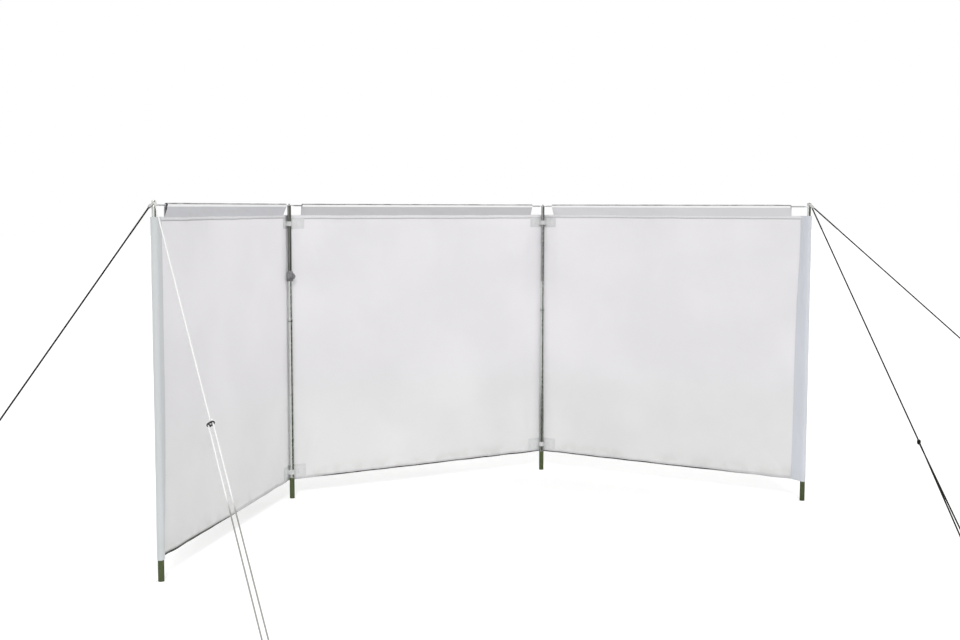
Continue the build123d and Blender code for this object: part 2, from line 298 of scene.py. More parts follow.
def link_object(name, data):
    """A new object, in the scene."""
    piece = bpy.data.objects.new(name, data)
    bpy.context.scene.collection.objects.link(piece)
    return piece


def final_mesh(piece):
    """A plain mesh of an object as its modifiers leave it."""
    graph = bpy.context.evaluated_depsgraph_get()
    return bpy.data.meshes.new_from_object(piece.evaluated_get(graph), depsgraph=graph)


def make_piece(name, shape, material, stands_for=(), sharp=38.0):
    """The mesh of a piece, faced outwards, with its finish, body and place in the frame."""
    mesh = mesh_of(name, shape)
    clean_mesh(mesh, 1e-7, 1e-7)
    if len(mesh.vertices) == shape.count:
        corners = np.zeros(len(mesh.loops), np.int32)
        mesh.loops.foreach_get("vertex_index", corners)
        layer = mesh.uv_layers.new(name="places")
        places = np.concatenate(shape.places)[corners]
        layer.data.foreach_set("uv", places.astype(np.float32).ravel())
    return dress(link_object(name, mesh), material, stands_for, sharp)


def dress(piece, material, stands_for=(), sharp=38.0):
    """A piece's finish, smooth faces, body and slot, and the nodes that it replaces."""
    mesh = piece.data
    mesh.materials.clear()
    mesh.materials.append(material)
    mesh.polygons.foreach_set("use_smooth", np.ones(len(mesh.polygons), bool))
    mesh.set_sharp_from_angle(angle=math.radians(sharp))
    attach(piece, "root")
    if stands_for:
        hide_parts(*stands_for)
    return piece


def place_matrix(x_axis, z_axis, origin):
    """A place whose z runs along z_axis and whose x lies nearest to x_axis."""
    z = Vector(z_axis).normalized()
    y = z.cross(Vector(x_axis)).normalized()
    x = y.cross(z)
    return Matrix.Translation(Vector(origin)) @ Matrix((x, y, z)).transposed().to_4x4()


def upright(x, y):
    """A place on the ground."""
    return Matrix.Translation((x, y, 0))


# ---------------------------------------------------------------- nodes
def add_node(tree, kind, inputs=None, **settings):
    """A node with its settings, and its inputs linked or set."""
    node = tree.nodes.new(kind)
    for key, value in settings.items():
        setattr(node, key, value)
    for key, value in (inputs or {}).items():
        if isinstance(value, bpy.types.NodeSocket):
            tree.links.new(value, node.inputs[key])
        else:
            node.inputs[key].default_value = value
    return node


def value_node(kind, inputs, **settings):
    """The first output of a node in the tree that its linked inputs come from."""
    sockets = (value for value in inputs.values() if isinstance(value, bpy.types.NodeSocket))
    return add_node(next(sockets).id_data, kind, inputs, **settings).outputs[0]


def calc(operation, first, second=0.0):
    """One step of arithmetic on node values."""
    return value_node("ShaderNodeMath", {0: first, 1: second}, operation=operation)


def plus(first, second):
    return calc("ADD", first, second)


def minus(first, second):
    return calc("SUBTRACT", first, second)


def times(first, second):
    return calc("MULTIPLY", first, second)


def apart(first, second):
    return calc("ABSOLUTE", minus(first, second))


def span(value, low, high, to_low=0.0, to_high=1.0):
    """A smooth step from to_low to to_high as a value goes from low to high."""
    names = ("Value", "From Min", "From Max", "To Min", "To Max")
    inputs = dict(zip(names, (value, low, high, to_low, to_high)))
    return value_node("ShaderNodeMapRange", inputs, interpolation_type="SMOOTHSTEP")


def noise(place, scale, detail):
    """Cloudy noise over a place, about 0.5."""
    return value_node("ShaderNodeTexNoise", {"Vector": place, "Scale": scale, "Detail": detail})


def blend_colors(share, first, second):
    """First colour where share is 0, second where it is 1."""
    inputs = {0: share, 6: first, 7: second}
    return add_node(share.id_data, "ShaderNodeMix", inputs, data_type="RGBA").outputs[2]


def linear(red, green, blue):
    """A colour as it looks, turned into the shader's own numbers."""
    def channel(value):
        return value / 12.92 if value <= 0.04045 else ((value + 0.055) / 1.055) ** 2.4

    return (channel(red), channel(green), channel(blue), 1.0)


def new_finish(name, color, roughness, **constants):
    """A material with its shader; constants go on the shader's own sockets."""
    material = bpy.data.materials.new(name)
    material.use_nodes = True
    tree = material.node_tree
    shader = tree.nodes["Principled BSDF"]
    shader.inputs["Base Color"].default_value = color
    shader.inputs["Roughness"].default_value = roughness
    for key, value in constants.items():
        shader.inputs[key.replace("_", " ")].default_value = value
    return material, tree, shader


def scaled(color, share, added=0.0):
    """A colour with its channels made weaker or stronger."""
    return tuple(min(1.0, channel * share + added) for channel in color[:3]) + (1.0,)


def map_places(tree):
    """The piece's own map: along and height on cloth, in metres."""
    node = add_node(tree, "ShaderNodeUVMap", uv_map="places")
    split = add_node(tree, "ShaderNodeSeparateXYZ", {0: node.outputs[0]})
    return split.outputs[0], split.outputs[1]


def object_places(tree):
    """The place on the object and its level, in metres."""
    node = add_node(tree, "ShaderNodeTexCoord")
    split = add_node(tree, "ShaderNodeSeparateXYZ", {0: node.outputs["Object"]})
    return node.outputs["Object"], split.outputs[2]


def weave_height(along, height, yarn):
    """Plain weave: two sets of yarns, each over and under the other, yarn apart."""
    warp, weft = (
        calc("SINE", times(place, math.pi / yarn)) for place in (along, height)
    )
    over = times(warp, weft)
    ridge_one = times(calc("ABSOLUTE", warp), span(over, -0.2, 0.2))
    ridge_two = times(calc("ABSOLUTE", weft), span(over, 0.2, -0.2))
    return calc("MAXIMUM", ridge_one, ridge_two)


def bump(shader, height, distance, strength):
    """Relief on a shader's surface; gives the normals it makes."""
    inputs = {"Height": height, "Distance": distance, "Strength": strength}
    normals = value_node("ShaderNodeBump", inputs)
    height.id_data.links.new(normals, shader.inputs["Normal"])
    return normals


def shade_and_tint_along(along, stops, tint):
    """A colour that changes along the cloth: stops are (place along it, paleness), and the paleness
    is painted light and shade.
    """
    share = calc("DIVIDE", along, CLOTH_LENGTH)
    ramp = add_node(along.id_data, "ShaderNodeValToRGB", {0: share})
    elements = ramp.color_ramp.elements
    for number, (place, pale) in enumerate(stops):
        spot = elements[number] if number < 2 else elements.new(place / CLOTH_LENGTH)
        spot.position = place / CLOTH_LENGTH
        spot.color = linear(*(pale + channel for channel in tint))
    return ramp.outputs[0]


def cloth_finish(
    name, color, yarn=0.9 * MM, soil=0.0, lines=(), hemmed=False, topped=False, through=SEE_LIGHT,
    upper=(), lower=(),
):
    """Coated polyester that lets some light through: faint weave, cloudy colour and grey lines along
    the sewn bands, part seam line and part painted shade.

    hemmed adds painted shade on the hem along the bottom, darkest in a patchy line at its lower
    edge, and topped a painted highlight and a dusty line over a rod.
    upper and lower say how pale the cloth's two halves are along it: painted light and shade across
    the bays.
    """
    material, tree, shader = new_finish(
        name, color, 0.62, Sheen_Weight=0.08, Sheen_Roughness=0.45, Specular_IOR_Level=0.35
    )
    along, height = map_places(tree)
    place, level = object_places(tree)
    cloud, fine = noise(place, 2.3, 5.0), noise(place, 420.0, 2.0)
    splash = noise(place, 17.0, 5.0)
    tone = color
    # painted light and shade: the cloth paler or darker along the bays, above and below
    if upper:
        above = shade_and_tint_along(along, upper, UPPER_TINT)
        below = shade_and_tint_along(along, lower, LOWER_TINT)
        tone = blend_colors(span(height, *TINT_CHANGE), above, below)

    def cover(share, over):
        return blend_colors(share, tone, over)

    tone = cover(span(cloud, 0.64, 0.36, 0.0, 0.04), linear(0.5, 0.5, 0.5))
    tone = cover(span(fine, 0.55, 0.8, 0.0, 0.35), scaled(color, 0.86))
    start, end = MIDDLE_BAY
    drop = times(
        span(along, start - 4 * MM, start + 4 * MM, 0.0, LINE_DROP),
        span(along, end + 4 * MM, end - 4 * MM),
    )
    # grey lines along the bands: part seam line, part painted shade at the bands' edges
    for middle, half_width, strength in lines:
        place_on = plus(height, drop) if middle > 1.0 else height
        away = apart(place_on, middle)
        share = span(away, half_width, half_width * 0.45, 0.0, strength)
        tone = cover(share, linear(0.44, 0.45, 0.46))
    if soil:
        near_hem = span(height, hem + 90 * MM, hem)
        share = times(near_hem, span(splash, 0.4, 0.7, 0.0, soil))
        tone = cover(share, linear(0.5, 0.5, 0.42))
    if hemmed:
        # painted shade: the hem greyer than the cloth above it, most towards pole 1
        fold = span(height, hem + HEM_WIDTH + 1 * MM, hem + HEM_WIDTH - 1.5 * MM)
        fold = times(fold, span(along, LEFT_HEM, LEFT_HEM + 0.5, 0.85, 0.35))
        tone = cover(fold, linear(0.68, 0.685, 0.67))
        # painted shade: a patchy dark olive line along the hem's lower edge
        fainter = times(
            span(along, FAINT_EDGE_STRETCH[0], FAINT_EDGE_STRETCH[0] + 0.15, 0.0, 0.8),
            span(along, FAINT_EDGE_STRETCH[1] + 0.12, FAINT_EDGE_STRETCH[1]),
        )
        fainter = calc("MAXIMUM", fainter, span(along, *FAINT_EDGE_END, 0.0, 0.75))
        edge_patches = times(span(splash, 0.3, 0.6, 0.75, 1.0), minus(1.0, fainter))
        depth = minus(height, span(along, LEFT_HEM, LEFT_HEM + 0.4, 2.2 * MM, 0.0))
        edge = times(span(depth, hem + 7.8 * MM, hem + 5.4 * MM), edge_patches)
        tone = cover(edge, linear(0.13, 0.14, 0.09))
    if topped:
        # painted highlight: a pale line along the crest over the rod; above it a dark dusty line
        near = apart(level, ridge - 1.5 * MM)
        tone = cover(span(near, 6 * MM, 3.5 * MM, 0.0, 0.9), linear(0.99, 0.99, 0.99))
        dust = span(level, ridge + 3 * MM, ridge + 5.2 * MM, 0.0, 0.85)
        dust = times(dust, span(splash, 0.35, 0.6, 0.55, 1.0))
        tone = cover(dust, linear(0.22, 0.22, 0.21))
    tree.links.new(tone, shader.inputs["Base Color"])
    tree.links.new(span(cloud, 0.3, 0.7, 0.56, 0.68), shader.inputs["Roughness"])
    facing = bump(shader, weave_height(along, height, yarn), 0.12 * MM, 0.5)
    glow = add_node(tree, "ShaderNodeBsdfTranslucent", {"Color": tone, "Normal": facing})
    both = add_node(
        tree, "ShaderNodeMixShader", {0: through, 1: shader.outputs[0], 2: glow.outputs[0]}
    )
    tree.links.new(both.outputs[0], tree.nodes["Material Output"].inputs["Surface"])
    return material


def webbing_finish():
    """Flat woven webbing: ribs across it and a slanted twill."""
    material, tree, shader = new_finish(
        "pale webbing", linear(0.82, 0.82, 0.82), 0.7, Sheen_Weight=0.15, Sheen_Roughness=0.4
    )
    along, across = map_places(tree)
    rib = calc("SINE", times(along, 2 * math.pi / (1.6 * MM)))
    slant = plus(along, times(across, 0.6))
    twill = calc("SINE", times(slant, 2 * math.pi / (2.4 * MM)))
    height = plus(rib, times(twill, 0.5))
    # painted shade: darker where the ribs and twill are low
    share = span(height, -1.2, 0.2, 0.5, 0.0)
    tone = blend_colors(share, linear(0.82, 0.825, 0.82), linear(0.56, 0.57, 0.57))
    tree.links.new(tone, shader.inputs["Base Color"])
    bump(shader, height, 0.25 * MM, 0.6)
    return material


def steel_finish(name, color, roughness, grass_reflection_top=None, marks=(), dull=None):
    """Zinc plated tube: drawn lines, rub marks, a darker, rougher stretch that is painted dark
    reflection, and an olive foot that is painted reflection of grass.
    """
    material, tree, shader = new_finish(name, color, roughness, Metallic=1.0)
    place, level = object_places(tree)
    drawn = add_node(tree, "ShaderNodeMapping", {"Vector": place, "Scale": (900.0, 900.0, 6.0)})
    lines, patches = noise(drawn.outputs[0], 5.0, 3.0), noise(place, 60.0, 6.0)
    tone = blend_colors(span(patches, 0.35, 0.65), scaled(color, 0.94), color)
    gloss = span(patches, 0.3, 0.7, roughness - 0.02, roughness + 0.03)
    gloss = plus(gloss, span(lines, 0.3, 0.7, -0.04, 0.05))
    if dull:
        # painted dark reflection: the tube darker, and rougher, over this stretch
        start, end, strength = dull
        share = span(level, start, end, 0.0, strength)
        tone = blend_colors(share, tone, linear(0.36, 0.37, 0.34))
        gloss = plus(gloss, times(share, 0.1))
    for middle, half_width in marks:
        share = span(apart(level, middle), half_width, half_width * 0.3, 0.0, 0.55)
        tone = blend_colors(share, tone, linear(0.36, 0.36, 0.34))
    if grass_reflection_top:
        # painted reflection of grass: an olive, mottled, non-metal foot
        depth = plus(level, times(minus(patches, 0.5), 0.02))
        share = span(depth, grass_reflection_top + 6 * MM, grass_reflection_top - 5 * MM)
        olive_mottle = span(noise(place, 210.0, 6.0), 0.38, 0.62)
        soil = blend_colors(olive_mottle, linear(0.235, 0.28, 0.15), linear(0.295, 0.33, 0.19))
        tone = blend_colors(share, tone, soil)
        gloss = plus(gloss, times(share, 0.5))
        tree.links.new(minus(1.0, share), shader.inputs["Metallic"])
    tree.links.new(tone, shader.inputs["Base Color"])
    tree.links.new(gloss, shader.inputs["Roughness"])
    bump(shader, lines, 0.02 * MM, 0.4)
    return material


def plastic_finish(name, color, roughness=0.45, rubbed=0.6):
    """Moulded plastic with a fine spark-eroded grain and pale rub marks."""
    material, tree, shader = new_finish(name, color, roughness)
    place, _ = object_places(tree)
    grain, rub = noise(place, 1500.0, 2.0), noise(place, 160.0, 5.0)
    pale = scaled(color, 1.6, 0.02)
    tone = blend_colors(span(rub, 0.52, 0.75, 0.0, rubbed), color, pale)
    tree.links.new(tone, shader.inputs["Base Color"])
    gloss = span(rub, 0.3, 0.7, roughness - 0.06, roughness + 0.12)
    tree.links.new(gloss, shader.inputs["Roughness"])
    bump(shader, grain, 0.05 * MM, 0.5)
    return material


def cord_finish(name, color, tracer_color, valley_shade_color, soil_color, soil_top):
    """Braided cord: plain and tracer yarns, painted shade in the valleys between them, clean at the
    loop on its pin, soiled below soil_top.
    """
    material, tree, shader = new_finish(name, color, 0.8, Specular_IOR_Level=0.25)
    tracer, valley = (
        add_node(tree, "ShaderNodeAttribute", attribute_name=part).outputs["Fac"]
        for part in ("tracer", "valley")
    )
    place, level = object_places(tree)
    tone = blend_colors(tracer, color, tracer_color)
    # painted shade in the valleys between the strands
    tone = blend_colors(span(valley, 0.6, 0.1, 0.0, 0.6), tone, valley_shade_color)
    soiled = span(level, soil_top, soil_top - 0.07, 0.0, 0.85)
    tone = blend_colors(soiled, tone, soil_color)
    clean = span(level, ridge - 12 * MM, ridge - 4 * MM, 0.0, 0.9)
    tone = blend_colors(clean, tone, linear(0.8, 0.8, 0.79))
    tree.links.new(tone, shader.inputs["Base Color"])
    bump(shader, noise(place, 2600.0, 2.0), 0.1 * MM, 0.6)
    return material


def thread_finish():
    """Sewing thread with a faint twist."""
    material, tree, shader = new_finish("grey thread", linear(0.6, 0.61, 0.62), 0.6)
    place, _ = object_places(tree)
    share = span(noise(place, 2200.0, 2.0), 0.4, 0.6)
    tone = blend_colors(share, linear(0.5, 0.51, 0.52), linear(0.68, 0.69, 0.7))
    tree.links.new(tone, shader.inputs["Base Color"])
    return material


SEAM_AND_SHADE_LINE = (seam - 14.2 * MM, GROOVE_HALF, 0.4)  # line's height, half width and strength; a grey line below each band, part seam line and part painted shade under the band's edge
panel_cloth = cloth_finish(
    "light grey cloth", linear(0.923, 0.919, 0.926), soil=0.12, hemmed=True,
    lines=(SEAM_AND_SHADE_LINE, (hem + HEM_WIDTH + 2 * MM, 2.4 * MM, 0.12)),
    # paleness along the cloth: painted light and shade, darker where the bays get less light
    upper=(
        (0.15, 0.923), (1.1, 0.942), (1.47, 0.942), (1.55, 0.931), (2.25, 0.927), (2.55, 0.937),
        (2.95, 0.941), (3.3, 0.93), (4.5, 0.925),
    ),
    lower=(
        (0.15, 0.913), (0.85, 0.924), (1.15, 0.937), (1.45, 0.938), (1.55, 0.926), (1.95, 0.93),
        (2.25, 0.942), (3.26, 0.923), (3.9, 0.921), (4.5, 0.914),
    ),
)
band_cloth = cloth_finish(
    "light grey cloth, folded", linear(0.925, 0.92, 0.93), soil=0.1, hemmed=True,
    through=THICK_LIGHT, lines=(SEAM_AND_SHADE_LINE,),
)
# one cloth in three copies, paler or darker for the light on each sleeve: painted light and shade
sleeve_cloths = [
    cloth_finish(name, color, topped=True, through=THICK_LIGHT)
    for name, color in (
        ("mid grey cloth", linear(0.813, 0.815, 0.83)),
        ("mid grey cloth, middle", linear(0.785, 0.782, 0.792)),
        ("mid grey cloth, sunlit", linear(0.86, 0.858, 0.87)),
    )
]
tunnel_cloths = {
    index: cloth_finish(name, color, soil=0.12, through=THICK_LIGHT)
    for index, name, color in (
        (0, "blue grey cloth", linear(0.825, 0.838, 0.845)),
        (2, "blue grey cloth, sunlit", linear(0.84, 0.855, 0.88)),
    )
}
patch_cloth = cloth_finish(
    "patch cloth", linear(0.885, 0.886, 0.89), yarn=1.2 * MM, through=THICK_LIGHT
)
webbing = webbing_finish()
RUBBED = ((lower_mouth - 12 * MM, 6 * MM),)  # where the joints rub the tubes
GRASS_REFLECTION_TOP = hem + 4 * MM  # top of the olive on the poles' feet, a painted reflection of grass
tube_steel = steel_finish("zinc plated tube", linear(0.86, 0.87, 0.86), 0.24, GRASS_REFLECTION_TOP, RUBBED)
# pole 3's lower tube, darker over a stretch: painted dark reflection
foot_steel = steel_finish(
    "zinc plated tube, foot with painted dark reflection", linear(0.84, 0.85, 0.84), 0.24, GRASS_REFLECTION_TOP, RUBBED,
    dull=(0.62, 0.28, 0.5),
)
# darker copies of the tube steel for the top tubes of poles 3 and 2: painted dark reflection
steel_dim_reflection = steel_finish("zinc plated tube, painted dim reflection", linear(0.66, 0.665, 0.66), 0.28)
steel_dark_reflection = steel_finish("zinc plated tube, painted dark reflection", linear(0.5, 0.51, 0.49), 0.32)
rod_steel = steel_finish("zinc plated rod", linear(0.78, 0.785, 0.79), 0.28)
peg_steel = steel_finish("zinc plated peg", linear(0.66, 0.67, 0.68), 0.36)
clamp_plastic = plastic_finish("mid grey plastic", linear(0.47, 0.47, 0.48))
runner_plastic = plastic_finish("black plastic", linear(0.04, 0.04, 0.045), 0.5, 0.2)
pale_braid = cord_finish(
    "pale braided cord", linear(0.98, 0.98, 0.98), linear(0.95, 0.95, 0.95),
    linear(0.8, 0.8, 0.78), linear(0.5, 0.5, 0.47), 0.5,
)
dark_braid = cord_finish(
    "dark braided cord", linear(0.14, 0.145, 0.12), linear(0.06, 0.065, 0.05),
    linear(0.04, 0.045, 0.035), linear(0.12, 0.125, 0.105), 0.6,
)
thread = thread_finish()


# ---------------------------------------------------------------- the cloth's line in plan
half_folds = [
    0.5 * math.acos(float(np.dot(before, after)))
    for before, after in zip(directions, directions[1:])
]


def round_the_pole(slant, half_fold):
    """(past the pole, to the wind) places from the straight cloth to the corner behind a pole."""
    turns = np.linspace(-slant, half_fold, 14)
    return [(BEND_RADIUS * math.sin(turn), BEND_RADIUS * math.cos(turn)) for turn in turns]


def bay_line(index, loose):
    """One bay's cloth in plan, from its first pole, held at the ridge or free of it."""
    first, last = [(0.0, 0.0)], [(pitch, 0.0)]
    free_slant = 0.0 if index == 1 else math.asin(BEND_RADIUS / pitch)
    slant = free_slant if loose else math.asin(BEND_RADIUS / BEND_REACH)
    if index > 0:
        bend = round_the_pole(slant, half_folds[index - 1])
        first = [(-past, wind) for past, wind in bend[::-1]]
        first += [] if loose else [(BEND_REACH, 0.0)]
    if index < 2:
        bend = round_the_pole(slant, half_folds[index])
        last = [] if loose else [(pitch - BEND_REACH, 0.0)]
        last += [(pitch + past, wind) for past, wind in bend]
    return [poles[index] + directions[index] * s + winds[index] * w for s, w in first + last]


def whole_line(loose):
    """All bays in plan, the length travelled at each point, and the corners' lengths."""
    points, corners = [], [0]
    for index in range(3):
        line = bay_line(index, loose)
        points += line[1:] if points else line
        corners.append(len(points) - 1)
    points = np.array(points)
    travelled = lengths_along(points)
    return points, travelled, travelled[corners]


tight_points, tight_travel, corners = whole_line(False)
loose_points, loose_travel, loose_corners = whole_line(True)
loose_travel = np.interp(loose_travel, loose_corners, corners)
line_places = np.arange(0, corners[3] + 0.5 * MM, 1 * MM)


def soft_line(points, travel):
    """The line at every millimetre, with its kinks eased over a few millimetres."""
    kernel = np.exp(-0.5 * (np.arange(-24, 25) / 6) ** 2)
    kernel /= kernel.sum()
    softened = []
    for axis in (0, 1):
        values = np.interp(line_places, travel, points[:, axis])
        before = 2 * values[0] - values[24:0:-1]
        after = 2 * values[-1] - values[-2:-26:-1]
        softened.append(np.convolve(np.concatenate([before, values, after]), kernel, "valid"))
    return softened


tight_line = soft_line(tight_points, tight_travel)
loose_line = soft_line(loose_points, loose_travel)
bay_starts = np.array([TUNNEL_SEAM, corners[1], corners[2]])
bay_ends = np.array([corners[1], corners[2], corners[3] - TUNNEL_SEAM])


def along_at(index, distance):
    """The place along the cloth that is a distance along a bay from its first pole."""
    inside = (line_places >= corners[index]) & (line_places <= corners[index + 1])
    x = tight_line[0][inside] - poles[index][0]
    y = tight_line[1][inside] - poles[index][1]
    reached = x * directions[index][0] + y * directions[index][1]
    return np.interp(distance, reached, line_places[inside])


# ---------------------------------------------------------------- the cloth's relief
seam_puckers = Waves(11, 26, 30 * MM, 90 * MM)
hem_puckers = Waves(12, 16, 140 * MM, 480 * MM)
side_puckers = Waves(13, 18, 50 * MM, 150 * MM)
crumples = Waves(14, 34, 110 * MM, 420 * MM)
slow_swell = Waves(15, 12, 0.5, 1.4)
seam_sway = Waves(16, 14, 160 * MM, 700 * MM)
anchor_draw = np.random.default_rng(17)
anchors = []
for bay in range(3):
    for side, near_pole in ((1, bay > 0), (-1, bay < 2)):
        for low in (False, True):
            level = hem if low else seam
            place = bay_starts[bay] if side > 0 else bay_ends[bay]
            if near_pole:  # the middle of a patch's outer edge
                level += 52 * MM if low else -43 * MM
                place += side * PATCH_HALF
            anchors.append((
                bay, place, level, side, 1 if low else -1, anchor_draw.uniform(0, 6.28),
                anchor_draw.uniform(11, 16), anchor_draw.uniform(0.7, 1.1),
            ))


def bay_of(along):
    """Which bay a place along the cloth is in."""
    return np.clip(np.searchsorted(corners[1:3], along), 0, 2)


def relief(along, height):
    """How far the cloth stands off its plain surface, to the wind."""
    bay = bay_of(along)
    start, end = bay_starts[bay], bay_ends[bay]
    share = np.clip((along - start) / (end - start), 0, 1)
    up = np.clip((height - hem) / (seam - hem), 0, 1)
    side_room = np.minimum(along - start, end - along)
    free = ease(0.0, 60 * MM, side_room)
    below_seam, above_hem = seam - height, height - hem
    free_top = ease(4 * MM, 60 * MM, below_seam)
    sag = -7 * MM * np.sin(math.pi * share) * (np.sin(math.pi * up ** 0.9) + 0.3 * (1 - up))
    total = sag * free * ease(0, 0.2, below_seam)
    total = total + 0.35 * MM * crumples.over(along, height) * free * free_top
    total = total + 1.6 * MM * slow_swell.over(along, height) * free * ease(0, 0.3, below_seam)
    near_seam = np.exp(-np.abs(below_seam - 16 * MM) / (34 * MM))
    total = total + 0.45 * MM * seam_puckers.along(along) * free * near_seam
    total = total + 0.7 * MM * hem_puckers.along(along) * free * np.exp(-above_hem / (60 * MM))
    near_tunnel = np.where(bay == 0, along - start, np.where(bay == 2, end - along, 1.0))
    tunnel_share = ease(2 * MM, 30 * MM, near_tunnel) * np.exp(-np.abs(near_tunnel) / (55 * MM))
    total = total + 0.6 * MM * side_puckers.along(height) * tunnel_share * free_top
    for where, place, level, side, rise, phase, folds, strength in anchors:
        across, off = side * (along - place), rise * (height - level)
        distance = np.hypot(across, off)
        angle = np.arctan2(off, across)
        reach = distance / (130 * MM)
        fan = reach * np.exp(1 - reach) * ease(-0.5, 0.15, angle) * ease(2.1, 1.4, angle)
        crease = 0.75 * MM * strength * fan * np.cos(folds * angle + phase) * free * free_top
        total = total + np.where(bay == where, crease, 0.0)
    groove = (below_seam - GROOVE_DROP - LINE_DROP * (bay == 1)) / GROOVE_HALF
    return total + 1.1 * MM * np.exp(-(groove**2))


def sway(along, height):
    """How far sewn lines and edges wander up and down; the left half hangs lowest."""
    near_seam = np.exp(-np.abs(seam - height) / (80 * MM))
    near_hem = np.exp(-np.abs(height - hem) / (80 * MM))
    wander = near_seam * seam_sway.along(along) + near_hem * seam_sway.along(along + 7.3)
    share = np.interp(along, (bay_starts[0], corners[1], corners[2]), (10.5 * MM, 12 * MM, 0.0))
    return 0.5 * MM * wander - share * ease(seam - 60 * MM, hem + 100 * MM, height)


def cloth_points(along, height, lift=0.0):
    """Points on the cloth; lift is off its middle, to the wind."""
    along, height, lift = np.broadcast_arrays(
        np.asarray(along, float), np.asarray(height, float), np.asarray(lift, float)
    )
    loose = 0.8 * ease(0.0, 0.55, seam - height)

    def plan(at):
        x = np.interp(at, line_places, tight_line[0]) * (1 - loose)
        y = np.interp(at, line_places, tight_line[1]) * (1 - loose)
        x = x + np.interp(at, line_places, loose_line[0]) * loose
        y = y + np.interp(at, line_places, loose_line[1]) * loose
        return x, y

    x, y = plan(along)
    (x0, y0), (x1, y1) = plan(along - 2 * MM), plan(along + 2 * MM)
    length = np.hypot(x1 - x0, y1 - y0)
    off = lift + relief(along, height)
    x, y = x - (y1 - y0) / length * off, y + (x1 - x0) / length * off
    return np.stack([x, y, height + sway(along, height)], -1)


# ---------------------------------------------------------------- sewn bands and stitches
def add_band(shape, along, height, across, section):
    """A closed strip sewn on the cloth: (across, lift) section points carried along a line."""
    along, height = np.broadcast_arrays(np.asarray(along, float), np.asarray(height, float))
    rings, places = [], []
    for offset, lift in section:
        a, h = along + offset * across[0], height + offset * across[1]
        rings.append(cloth_points(a, h, lift))
        places.append(np.stack([a, h], -1))
    add_loft(shape, np.stack(rings, 1), np.stack(places, 1))


LEVEL, UPRIGHT = (0.0, 1.0), (1.0, 0.0)  # how a band runs, as the direction across it


def wrap_section(width, low_proud, high_proud):
    """A band folded over an edge: its lower fold is rounded, its upper edge lies on the cloth."""
    face = [
        (width, high_proud), (width - 0.5 * MM, high_proud * 1.25), (width / 2, low_proud * 1.05),
        (0.8 * MM, low_proud), (0.1 * MM, low_proud * 0.5),
    ]
    return face + [(across, -proud) for across, proud in face[::-1]]


def flat_section(width, inner, outer):
    """A flat band on one face of the cloth, with soft edges."""
    half = width / 2
    middle = (inner + outer) / 2
    return [
        (-half, inner), (-half, middle), (-half + 0.5 * MM, outer), (0.0, outer * 1.03),
        (half - 0.5 * MM, outer), (half, middle), (half, inner),
    ]


class Routes:
    """Lines that rows of stitches or cords follow."""

    def __init__(self):
        self.points, self.edges = [], []

    def add(self, points):
        points = np.asarray(points, float).reshape(-1, 3)
        first = len(self.points)
        self.points += points.tolist()
        self.edges += [(first + i, first + i + 1) for i in range(len(points) - 1)]

    def on_cloth(self, along, height, lift, step=6 * MM):
        """A row between two places on the cloth, or through several."""
        along, height = np.atleast_1d(along).astype(float), np.atleast_1d(height).astype(float)
        travelled = lengths_along(np.stack([along, height], -1))
        at = np.linspace(0, travelled[-1], max(3, int(travelled[-1] / step) + 1))
        along, height = np.interp(at, travelled, along), np.interp(at, travelled, height)
        self.add(cloth_points(along, height, lift))


def new_group(name, sizes, material):
    """A geometry node tree with sockets for a route, some sizes and a material."""
    tree = bpy.data.node_groups.new(name, "GeometryNodeTree")
    sockets = tree.interface
    sockets.new_socket("Geometry", in_out="INPUT", socket_type="NodeSocketGeometry")
    for label, size in sizes:
        socket = sockets.new_socket(label, in_out="INPUT", socket_type="NodeSocketFloat")
        socket.default_value = size
    sockets.new_socket(material, in_out="INPUT", socket_type="NodeSocketMaterial")
    sockets.new_socket("Geometry", in_out="OUTPUT", socket_type="NodeSocketGeometry")
    return tree, add_node(tree, "NodeGroupInput").outputs


def close_group(tree, geometry, material):
    """Ends a geometry node tree with its pieces made real and given their material."""
    real = value_node("GeometryNodeRealizeInstances", {0: geometry})
    finish = value_node("GeometryNodeSetMaterial", {"Geometry": real, "Material": material})
    tree.links.new(finish, add_node(tree, "NodeGroupOutput").inputs[0])
    return tree


def resampled(route, length):
    """The route as a curve with points a length apart."""
    inputs = {"Curve": value_node("GeometryNodeMeshToCurve", {0: route}), "Length": length}
    return value_node("GeometryNodeResampleCurve", inputs, mode="LENGTH")


def stitch_tree():
    """Stitches of a given length and thickness, a pitch apart along each route."""
    sizes = (("Pitch", STITCH_PITCH), ("Stitch Length", 3.4 * MM), ("Thickness", 0.55 * MM))
    tree, given = new_group("stitch rows", sizes, "Thread")
    rows = resampled(given["Geometry"], given["Pitch"])
    ball = add_node(tree, "GeometryNodeMeshUVSphere", {"Segments": 4, "Rings": 3, "Radius": 0.5})
    thick = given["Thickness"]
    size = value_node("ShaderNodeCombineXYZ", {"X": given["Stitch Length"], "Y": thick, "Z": thick})
    quarter = (0, math.pi / 2, 0)
    stitch = value_node("GeometryNodeTransform", {0: ball.outputs[0], "Rotation": quarter})
    stitch = value_node("GeometryNodeTransform", {0: stitch, "Scale": size})
    tangent = add_node(tree, "GeometryNodeInputTangent").outputs[0]
    facing = value_node("FunctionNodeAlignRotationToVector", {"Vector": tangent}, axis="X")
    inputs = {"Points": rows, "Instance": stitch, "Rotation": facing}
    placed = value_node("GeometryNodeInstanceOnPoints", inputs)
    return close_group(tree, placed, given["Thread"])


